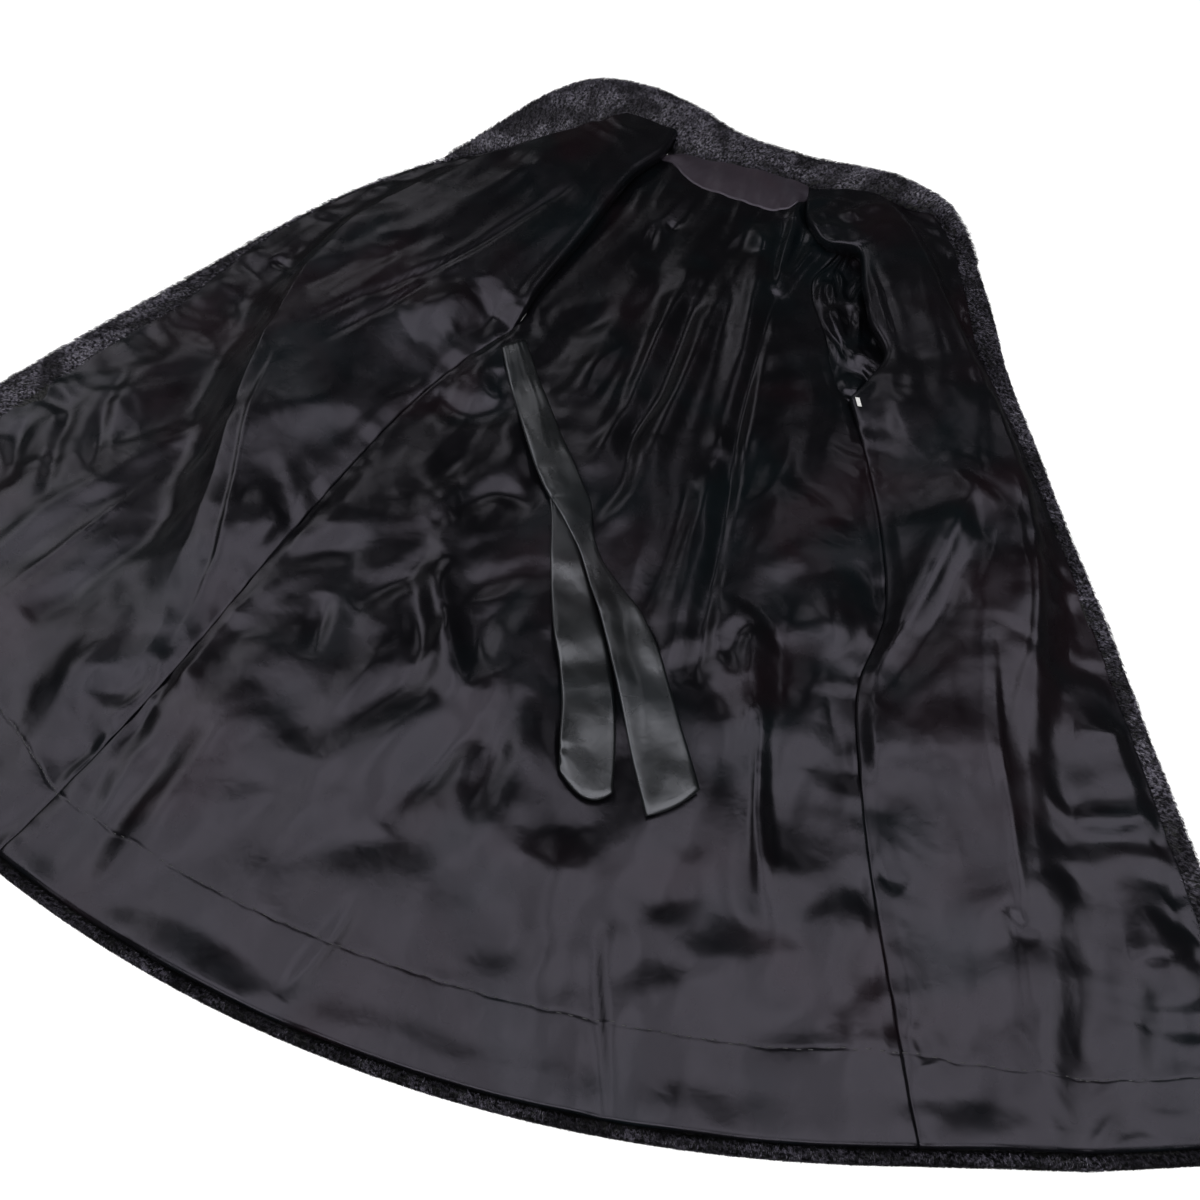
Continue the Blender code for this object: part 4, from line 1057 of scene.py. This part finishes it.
def group_of(name, defaults, results, build):
    """A shader node group, made once, from its inputs' defaults and its outputs' names."""
    if name in bpy.data.node_groups:
        return bpy.data.node_groups[name]
    tree = bpy.data.node_groups.new(name, "ShaderNodeTree")
    for label, value in defaults.items():
        kind = "NodeSocketColor" if isinstance(value, tuple) else "NodeSocketFloat"
        made = tree.interface.new_socket(label, in_out="INPUT", socket_type=kind)
        made.default_value = value
    for label in results:
        kind = "NodeSocketColor" if label == "Colour" else "NodeSocketFloat"
        tree.interface.new_socket(label, in_out="OUTPUT", socket_type=kind)
    inputs, outputs = tree.nodes.new("NodeGroupInput"), tree.nodes.new("NodeGroupOutput")
    build(tree, inputs.outputs, outputs.inputs)
    return tree


def node(tree, kind, links=None, **values):
    """A node with its inputs set or linked, by name or by number."""
    made = tree.nodes.new(kind)
    for name, value in values.items():
        setattr(made, name, value)
    for socket, value in (links or {}).items():
        if isinstance(value, bpy.types.NodeSocket):
            tree.links.new(value, made.inputs[socket])
        else:
            made.inputs[socket].default_value = value
    return made


def noise(tree, place, scale, detail=2.0, distortion=0.0):
    links = {"Vector": place, "Scale": scale, "Detail": detail, "Distortion": distortion}
    return node(tree, "ShaderNodeTexNoise", links).outputs["Fac"]


def spread_over(tree, value, low, high, start, end):
    links = {"Value": value, "From Min": low, "From Max": high, "To Min": start, "To Max": end}
    return node(tree, "ShaderNodeMapRange", links).outputs["Result"]


def mixed(tree, share, one, other):
    inputs = {0: share, 6: one, 7: other}
    return node(tree, "ShaderNodeMix", inputs, data_type="RGBA").outputs[2]


def times(tree, one, other, operation="MULTIPLY"):
    return node(tree, "ShaderNodeMath", {0: one, 1: other}, operation=operation).outputs[0]


def woven_group():
    """Satin weave: colour that drifts from cool to warm, changing gloss, and raised threads."""
    defaults = {
        "Deep": (0.006, 0.006, 0.007, 1), "Warm": (0.016, 0.008, 0.010, 1),
        "Cool": (0.006, 0.008, 0.016, 1), "Gloss low": 0.30, "Gloss high": 0.44,
        "Thread scale": 420.0, "Crinkles": 24.0,
    }

    def build(tree, inside, out):
        place = node(tree, "ShaderNodeTexCoord").outputs["Object"]
        warm = spread_over(tree, noise(tree, place, 5.5, 1.5, 0.6), 0.52, 0.68, 0, 1)
        cool = spread_over(tree, noise(tree, place, 8.5, 2.0, 0.4), 0.50, 0.70, 0, 1)
        colour = mixed(tree, warm, inside["Deep"], inside["Warm"])
        tree.links.new(mixed(tree, cool, colour, inside["Cool"]), out["Colour"])
        wear = noise(tree, place, 26.0, 3.0)
        gloss = spread_over(tree, wear, 0.3, 0.7, inside["Gloss low"], inside["Gloss high"])
        tree.links.new(gloss, out["Roughness"])
        waves = []
        for angle in (0.45, -1.1):
            turned_place = node(
                tree, "ShaderNodeMapping", {"Vector": place, "Rotation": (0, 0, angle)}
            ).outputs["Vector"]
            links = {"Vector": turned_place, "Scale": inside["Thread scale"], "Distortion": 1.2}
            waves.append(node(tree, "ShaderNodeTexWave", links).outputs["Fac"])
        threads = times(tree, waves[0], times(tree, waves[1], 0.35), "ADD")
        slubs = times(tree, noise(tree, place, 160.0, 2.0), 0.8)
        crinkles = times(tree, noise(tree, place, 60.0, 2.0, 0.3), inside["Crinkles"])
        fine = times(tree, threads, slubs, "ADD")
        tree.links.new(times(tree, fine, crinkles, "ADD"), out["Height"])

    return group_of("Satin weave", defaults, ("Colour", "Roughness", "Height"), build)


def fur_group():
    """Fur colour: the fur's black, with greyer tips in streaks and patches that are painted sheen, and
    a change of gloss.
    """
    defaults = {
        "Root": (0.004, 0.004, 0.005, 1), "Sheen tip": (0.03, 0.03, 0.034, 1), "Streak scale": 330.0,
    }

    def build(tree, inside, out):
        place = node(tree, "ShaderNodeTexCoord").outputs["Object"]
        streak = noise(tree, place, inside["Streak scale"], 2.0)
        # Painted sheen: patches and streaks of grey tips where the fur would catch the light
        sheen_patch = spread_over(tree, noise(tree, place, 19.0, 2.0, 0.7), 0.42, 0.58, 0.22, 1)
        share = times(tree, sheen_patch, spread_over(tree, streak, 0.43, 0.60, 0, 1))
        tree.links.new(mixed(tree, share, inside["Root"], inside["Sheen tip"]), out["Colour"])
        tree.links.new(spread_over(tree, sheen_patch, 0, 1, 0.55, 0.36), out["Roughness"])
        tree.links.new(streak, out["Height"])
        tree.links.new(share, out["Shine"])

    results = ("Colour", "Roughness", "Height", "Shine")
    return group_of("Fur streaks", defaults, results, build)


def finish(name, group, values, bump, specular, tint=(1, 1, 1), shine=False):
    """A material around a finish group. bump is its strength and depth."""
    if name in bpy.data.materials:
        return bpy.data.materials[name]
    made = bpy.data.materials.new(name)
    made.use_nodes = True
    tree = made.node_tree
    shader = tree.nodes["Principled BSDF"]
    placed = node(tree, "ShaderNodeGroup", node_tree=group)
    for label, value in values.items():
        placed.inputs[label].default_value = value
    tree.links.new(placed.outputs["Colour"], shader.inputs["Base Color"])
    tree.links.new(placed.outputs["Roughness"], shader.inputs["Roughness"])
    strength, depth = bump
    relief = node(tree, "ShaderNodeBump", {
        "Strength": strength, "Distance": depth, "Height": placed.outputs["Height"],
    })
    tree.links.new(relief.outputs["Normal"], shader.inputs["Normal"])
    if shine:
        tree.links.new(placed.outputs["Shine"], shader.inputs["Coat Weight"])
        shader.inputs["Coat Roughness"].default_value = 0.24
    shader.inputs["Specular IOR Level"].default_value = specular
    shader.inputs["Specular Tint"].default_value = (*tint, 1)
    return made


def colour_of(value):
    return (*value, 1.0)


def fur_material(tip):
    """The pile's fur with its painted sheen, or the plain dark pelt beneath it."""
    if tip:
        settings = bpy.context.scene.coat_fur
        values = {"Root": colour_of(settings.root), "Sheen tip": colour_of(settings.tip)}
        return finish("Black fur, pile", fur_group(), values, (0.2, 0.0004), 0.14, SHEEN_TINT, True)
    values = {"Root": (0.002, 0.002, 0.002, 1), "Sheen tip": (0.008, 0.008, 0.009, 1)}
    return finish("Black fur, pelt", fur_group(), values, (0.8, 0.002), 0.15)


def satin_material(matte_and_painted_light=0.0):
    settings = bpy.context.scene.coat_satin
    name = "Black satin, fronts" if matte_and_painted_light else "Black satin"
    values = {
        # Painted light: the fronts' copy gets a lighter black for the light the fronts catch, and a
        # rougher gloss of their own
        "Deep": colour_of([c * (1 + 10 * matte_and_painted_light) for c in settings.deep]),
        "Warm": colour_of(settings.warm), "Cool": colour_of(settings.cool),
        "Gloss low": settings.roughness - 0.05 + matte_and_painted_light,
        "Gloss high": settings.roughness + 0.07 + matte_and_painted_light,
    }
    return finish(name, woven_group(), values, (0.10, 0.0002), 0.26, SHEEN_TINT)


# Deep, warm and cool colour, gloss from and to, thread scale, bump, specular, tint
WOVEN = {
    "Neck facing satin": (
        ((0.0155, 0.0120, 0.0160), (0.022, 0.014, 0.018), (0.013, 0.012, 0.016)),
        (0.42, 0.52), 420, (0.12, 0.0002), 0.4, SHEEN_TINT,
    ),
    "Black tie satin": (
        ((0.0030, 0.0035, 0.0037), (0.0040, 0.0035, 0.0040), (0.0025, 0.0036, 0.0042)),
        (0.24, 0.34), 420, (0.10, 0.0002), 0.75, TIE_TINT,
    ),
    "Pale cotton": (
        ((0.50, 0.49, 0.47), (0.44, 0.41, 0.37), (0.47, 0.48, 0.49)),
        (0.75, 0.9), 330, (0.6, 0.0003), 0.5, (1, 1, 1),
    ),
    "Black thread": (
        ((0.012, 0.012, 0.013), (0.016, 0.013, 0.014), (0.011, 0.012, 0.016)),
        (0.4, 0.6), 900, (0.4, 0.0001), 0.5, (1, 1, 1),
    ),
}


def woven_material(name):
    colours, gloss, threads, bump, specular, tint = WOVEN[name]
    values = dict(zip(("Deep", "Warm", "Cool"), map(colour_of, colours)))
    values.update({"Gloss low": gloss[0], "Gloss high": gloss[1], "Thread scale": threads})
    return finish(name, woven_group(), values, bump, specular, tint)


def place_piece(obj, slot, *nodes):
    """Puts a piece on the coat: its body, its finish slot (not used), and the solids that it stands
    for, which it hides.
    """
    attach(obj, "root")
    if nodes:
        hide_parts(*nodes)
    return obj


# Settings


class FurSettings(bpy.types.PropertyGroup):
    length: FloatProperty(
        name="Hair length", description="Length of the guard hair", default=0.0095, unit="LENGTH",
    )
    width: FloatProperty(
        name="Hair width", description="Width of a blade of fur at its root", default=0.0004,
        unit="LENGTH",
    )
    density: FloatProperty(
        name="Density", description="How much of the full number of hairs is made", default=1.0,
        min=0.05, max=1.0, subtype="FACTOR",
    )
    root: FloatVectorProperty(
        name="Valleys", description="Colour deep in the fur", default=(0.001, 0.001, 0.0012),
        subtype="COLOR",
    )
    # Painted sheen: the grey of the lit streaks on the pile
    tip: FloatVectorProperty(
        name="Tips", description="Colour of the lit streaks", default=(0.105, 0.097, 0.127),
        subtype="COLOR",
    )


class SatinSettings(bpy.types.PropertyGroup):
    swell: FloatProperty(
        name="Swell", description="Height of the long soft swells", default=0.0060, unit="LENGTH",
    )
    wrinkle: FloatProperty(
        name="Wrinkle", description="Height of the shorter wrinkles", default=0.0026, unit="LENGTH",
    )
    roughness: FloatProperty(
        name="Roughness", description="How wide the highlights spread", default=0.24, subtype="FACTOR",
    )
    deep: FloatVectorProperty(
        name="Black", description="Colour of the satin", default=(0.0014, 0.0014, 0.0018),
        subtype="COLOR",
    )
    warm: FloatVectorProperty(
        name="Warm tint", description="Wine tint in places", default=(0.0036, 0.0019, 0.0026),
        subtype="COLOR",
    )
    cool: FloatVectorProperty(
        name="Cool tint", description="Blue tint in places", default=(0.0014, 0.0026, 0.0032),
        subtype="COLOR",
    )


class StageSettings(bpy.types.PropertyGroup):
    floor: FloatVectorProperty(
        name="Floor", description="Colour of the floor", default=(0.94, 0.94, 0.94), subtype="COLOR",
    )
    glow: FloatProperty(
        name="Overhead light", description="Brightness of the overhead softboxes", default=3.4,
    )
    window: FloatProperty(name="Side light", description="Brightness of the side softbox", default=2.1)
    lamp: FloatProperty(
        name="Lamp", description="Brightness of the narrow lamp by the hem", default=7.0,
    )
    fill: FloatProperty(name="Fill", description="Brightness of the room", default=0.04)


# Operators


# Softboxes over the coat: x, y, size
OVERHEAD = (
    (-1.6, -0.15, (0.9, 1.6)), (-0.5, -0.55, (0.95, 1.9)), (0.59, -0.35, (0.86, 2.2)),
    (1.52, -0.05, (0.88, 2.2)), (2.55, -0.1, (0.9, 2)),
)
# Small lamps above the shelf behind the collar: x, y, size
SHELF = ((0.62, 1.68, (0.3, 0.45)), (-1.12, 1.9, (0.4, 0.4)))


class FURCOAT_OT_stage(bpy.types.Operator):
    """Floor, camera and soft light"""

    bl_idname = "furcoat.stage"
    bl_label = "Stage"

    def execute(self, context):
        settings = context.scene.coat_stage
        bpy.ops.mesh.primitive_plane_add(size=16, location=(0, 0, 0))
        floor = context.object
        floor.name = "floor"
        floor.data.materials.append(self.floor_material(settings))
        floor.visible_glossy = False
        camera = bpy.data.objects.new("camera", bpy.data.cameras.new("camera"))
        camera.data.lens, camera.data.sensor_width = 36.0, 36.0
        camera.data.sensor_fit = "HORIZONTAL"
        x, y, height = CAMERA_AT
        camera.location = (x + NECK[0], y + NECK[1], height)
        camera.rotation_euler = Euler((math.radians(CAMERA_TILT), 0, math.radians(CAMERA_HEADING)))
        context.scene.collection.objects.link(camera)
        context.scene.camera = camera
        context.scene.view_settings.view_transform = "Standard"
        self.overhead(context, "overhead", OVERHEAD, settings.glow)
        for name, place, aim, size, brightness in (
            ("window", (-2.35, 0.9, 1.7), (-0.45, -0.1, 0), (1.4, 1.0), settings.window),
            ("far window", (-1.55, 2.6, 1.9), (-0.7, 1.0, 0), (0.9, 0.8), settings.window / 1.6),
            ("ceiling lamp", (0.2, -2.15, 1.9), (0.1, -0.5, 0), (3.4, 0.45), settings.lamp),
        ):
            self.softbox(context, name, place, aim, size, brightness)
        self.overhead(context, "shelf lamp", SHELF, settings.glow)
        self.room(context, settings)
        return {"FINISHED"}

    def overhead(self, context, name, lamps, glow):
        for k, (x, y, size) in enumerate(lamps):
            self.softbox(context, f"{name} {k + 1}", (x, y, LAMP_HEIGHT), (x, y, 0), size, glow)

    def softbox(self, context, name, place, aim, size, glow):
        light = bpy.data.lights.new(name, "AREA")
        light.shape, light.size, light.size_y = "RECTANGLE", *size
        light.energy = glow * math.pi * size[0] * size[1]
        made = bpy.data.objects.new(name, light)
        made.location = place
        made.rotation_euler = (Vector(aim) - Vector(place)).to_track_quat("-Z", "Y").to_euler()
        context.scene.collection.objects.link(made)

    def floor_material(self, settings):
        made = bpy.data.materials.new("Pale floor")
        made.use_nodes = True
        tree = made.node_tree
        shader = tree.nodes["Principled BSDF"]
        place = node(tree, "ShaderNodeTexCoord").outputs["Object"]
        shade = [c * 0.985 for c in settings.floor]
        tint = mixed(tree, noise(tree, place, 3.0), colour_of(settings.floor), colour_of(shade))
        tree.links.new(tint, shader.inputs["Base Color"])
        shader.inputs["Roughness"].default_value = 0.9
        shader.inputs["Emission Color"].default_value = (1, 1, 1, 1)
        shader.inputs["Emission Strength"].default_value = 0.12
        shader.inputs["Specular IOR Level"].default_value = 0.1
        return made

    def room(self, context, settings):
        world = bpy.data.worlds.new("Pale room")
        world.use_nodes = True
        tree = world.node_tree
        seen = node(tree, "ShaderNodeLightPath").outputs["Is Camera Ray"]
        strength = spread_over(tree, seen, 0, 1, settings.fill, 0.95)
        background = tree.nodes["Background"]
        background.inputs["Color"].default_value = (1, 1, 1, 1)
        tree.links.new(strength, background.inputs["Strength"])
        context.scene.world = world


class FURCOAT_OT_fur(bpy.types.Operator):
    """Pelts of the coat, with the pile where the fur shows"""

    bl_idname = "furcoat.fur"
    bl_label = "Fur"

    def execute(self, context):
        pelts = fur_pelts(fur_material(tip=False))
        rows = spaced(((0, 26, 150),))
        hem_flow, edge_flow = (0.12, 1.0), (0.75, 0.62)
        collar, _ = collar_grid()
        skirt = collar[:, -1:] * (1, 1, 0) + (0, 0, 0.001)
        seam = collar[:, :1] * (1, 1, 0) + (0, 0, 0.003)
        tufts = fur_material(tip=True)
        piles = {
            "fur_collar": [
                ("pile_collar", np.concatenate([seam, collar, skirt], 1), 54000, (0.8, 0.45)),
            ],
            "fur_front_right": [
                ("pile_edge_right", margin_grid(FRONT_RIGHT, rows), 32000, edge_flow),
                ("pile_hem_right", hem_grid(FRONT_RIGHT, 15), 9000, hem_flow),
            ],
            "fur_front_left": [
                ("pile_edge_left", margin_grid(FRONT_LEFT, rows), 26000, edge_flow),
                ("pile_hem_left", hem_grid(FRONT_LEFT, 15), 7000, hem_flow),
            ],
            "fur_back": [("pile_hem_back", hem_grid(BACK, BACK.columns), 19000, hem_flow)],
        }
        for seed, (solid, pelt) in enumerate(pelts.items()):
            place_piece(pelt, "fur", solid)
            on_it = []
            for name, grid, count, flow in piles.get(solid, ()):
                rim = "down" if "hem" in name else "across"
                made = pile(name, grid, count, flow, 200 + 10 * seed + len(on_it), tufts, rim)
                on_it.append(place_piece(made, "fur"))
        return {"FINISHED"}


class FURCOAT_OT_lining(bpy.types.Operator):
    """Satin lining of the back and both fronts"""

    bl_idname = "furcoat.lining"
    bl_label = "Lining"

    def execute(self, context):
        satin = satin_material()
        rows = spaced((
            (0, 1, 16), (1, 22.4, 250), (22.4, 22.9, 24), (22.9, 23.6, 10), (23.6, 24, 12),
        ))
        back_columns = spaced(((0, 0.6, 8), (0.6, 25.4, 196), (25.4, 26, 8)))
        front_columns = spaced((
            (0, 0.8, 10), (0.8, 6, 50), (6, 9.5, 36), (9.5, 12.4, 42), (12.4, 13, 8),
        ))
        back = turned(BACK, back_columns, rows, (SEAM_TURN, SEAM_TURN, NECK_TURN, HEM_TURN))
        made = cloth("satin_back", in_frame(*back), satin)
        place_piece(made, "satin", "lining_back")
        for name, panel, solid, flat, area in (
            ("satin_front_right", FRONT_RIGHT, "lining_front_right", (0.58, 1.12), 0.42),
            ("satin_front_left", FRONT_LEFT, "lining_front_left", (0.46, 1.12), 0.33),
        ):
            points = in_frame(*front_turned(panel, front_columns, rows))
            # The fronts' satin: rougher, with a lighter black that is painted light
            made = cloth(name, points, satin_material(matte_and_painted_light=0.03))
            place_piece(made, "satin", solid)
        return {"FINISHED"}


class FURCOAT_OT_sleeve_lining(bpy.types.Operator):
    """Gathered satin down the open left armhole"""

    bl_idname = "furcoat.sleeve_lining"
    bl_label = "Sleeve lining"

    def execute(self, context):
        made = cloth("satin_sleeve_left", sleeve_lining_points(), satin_material())
        place_piece(made, "satin", "lining_sleeve_left")
        return {"FINISHED"}


class FURCOAT_OT_neck_facing(bpy.types.Operator):
    """Band of satin across the back neck"""

    bl_idname = "furcoat.neck_facing"
    bl_label = "Neck facing"

    def execute(self, context):
        satin = woven_material("Neck facing satin")
        made = cloth("satin_neck_facing", neck_facing_points(), satin)
        place_piece(made, "satin", "neck_facing")
        return {"FINISHED"}


class FURCOAT_OT_ties(bpy.types.Operator):
    """Two satin ties sewn in at the right armpit"""

    bl_idname = "furcoat.ties"
    bl_label = "Ties"

    def execute(self, context):
        satin = woven_material("Black tie satin")
        grid = np.meshgrid(np.linspace(1, 25, 220), np.linspace(7.5, 22, 230))
        fronts = np.meshgrid(np.linspace(0, 3, 60), np.linspace(7, 12, 90))
        below = HeightMap(in_frame(*satin_top(BACK, *grid)))
        below.add(in_frame(*satin_top(FRONT_RIGHT, *fronts)))
        for name, solid, edges, bulge, seed in (
            ("satin_tie_lower", "tie_lower", TIE_LOWER, TIE_BULGES[0], 150),
            ("satin_tie_upper", "tie_upper", TIE_UPPER, TIE_BULGES[1], 160),
        ):
            top, bottom = tie_points(edges, bulge, below, seed)
            below.add(top)
            made = mesh_object(name, *closed(top, bottom), satin)
            place_piece(made, "tie_satin", solid)
        return {"FINISHED"}


class FURCOAT_OT_stitches(bpy.types.Operator):
    """Stitches along the lining's turned hem"""

    bl_idname = "furcoat.stitches"
    bl_label = "Stitches"

    def execute(self, context):
        made = mesh_object("hem_stitches", *hem_stitches(), woven_material("Black thread"))
        place_piece(made, "satin")
        return {"FINISHED"}


class FURCOAT_OT_seam_tag(bpy.types.Operator):
    """Small bare tag at the top of the left side seam"""

    bl_idname = "furcoat.seam_tag"
    bl_label = "Seam tag"

    def execute(self, context):
        made = mesh_object("cotton_seam_tag", *closed(*tag_points()), woven_material("Pale cotton"))
        place_piece(made, "pale_cotton", "seam_tag")
        return {"FINISHED"}


class FURCOAT_PT_panel(bpy.types.Panel):
    """Everything that the coat is made of"""

    bl_label = "Fur coat"
    bl_idname = "FURCOAT_PT_panel"
    bl_space_type = "VIEW_3D"
    bl_region_type = "UI"
    bl_category = "Fur coat"

    def draw(self, context):
        for group in (context.scene.coat_fur, context.scene.coat_satin, context.scene.coat_stage):
            box = self.layout.box()
            for name in group.__annotations__:
                box.prop(group, name)
        for operator in OPERATORS:
            self.layout.operator(operator.bl_idname)


OPERATORS = (
    FURCOAT_OT_stage, FURCOAT_OT_fur, FURCOAT_OT_lining, FURCOAT_OT_sleeve_lining,
    FURCOAT_OT_neck_facing, FURCOAT_OT_ties, FURCOAT_OT_stitches, FURCOAT_OT_seam_tag,
)
CLASSES = (FurSettings, SatinSettings, StageSettings, *OPERATORS, FURCOAT_PT_panel)


def register():
    for kind in CLASSES:
        bpy.utils.register_class(kind)
    bpy.types.Scene.coat_fur = PointerProperty(type=FurSettings)
    bpy.types.Scene.coat_satin = PointerProperty(type=SatinSettings)
    bpy.types.Scene.coat_stage = PointerProperty(type=StageSettings)


def unregister():
    for name in ("coat_stage", "coat_satin", "coat_fur"):
        delattr(bpy.types.Scene, name)
    for kind in reversed(CLASSES):
        bpy.utils.unregister_class(kind)


def main():
    register()
    bpy.ops.furcoat.stage()
    bpy.ops.furcoat.fur()
    bpy.ops.furcoat.lining()
    bpy.ops.furcoat.sleeve_lining()
    bpy.ops.furcoat.neck_facing()
    bpy.ops.furcoat.ties()
    bpy.ops.furcoat.stitches()
    bpy.ops.furcoat.seam_tag()


if __name__ == "__main__":
    main()
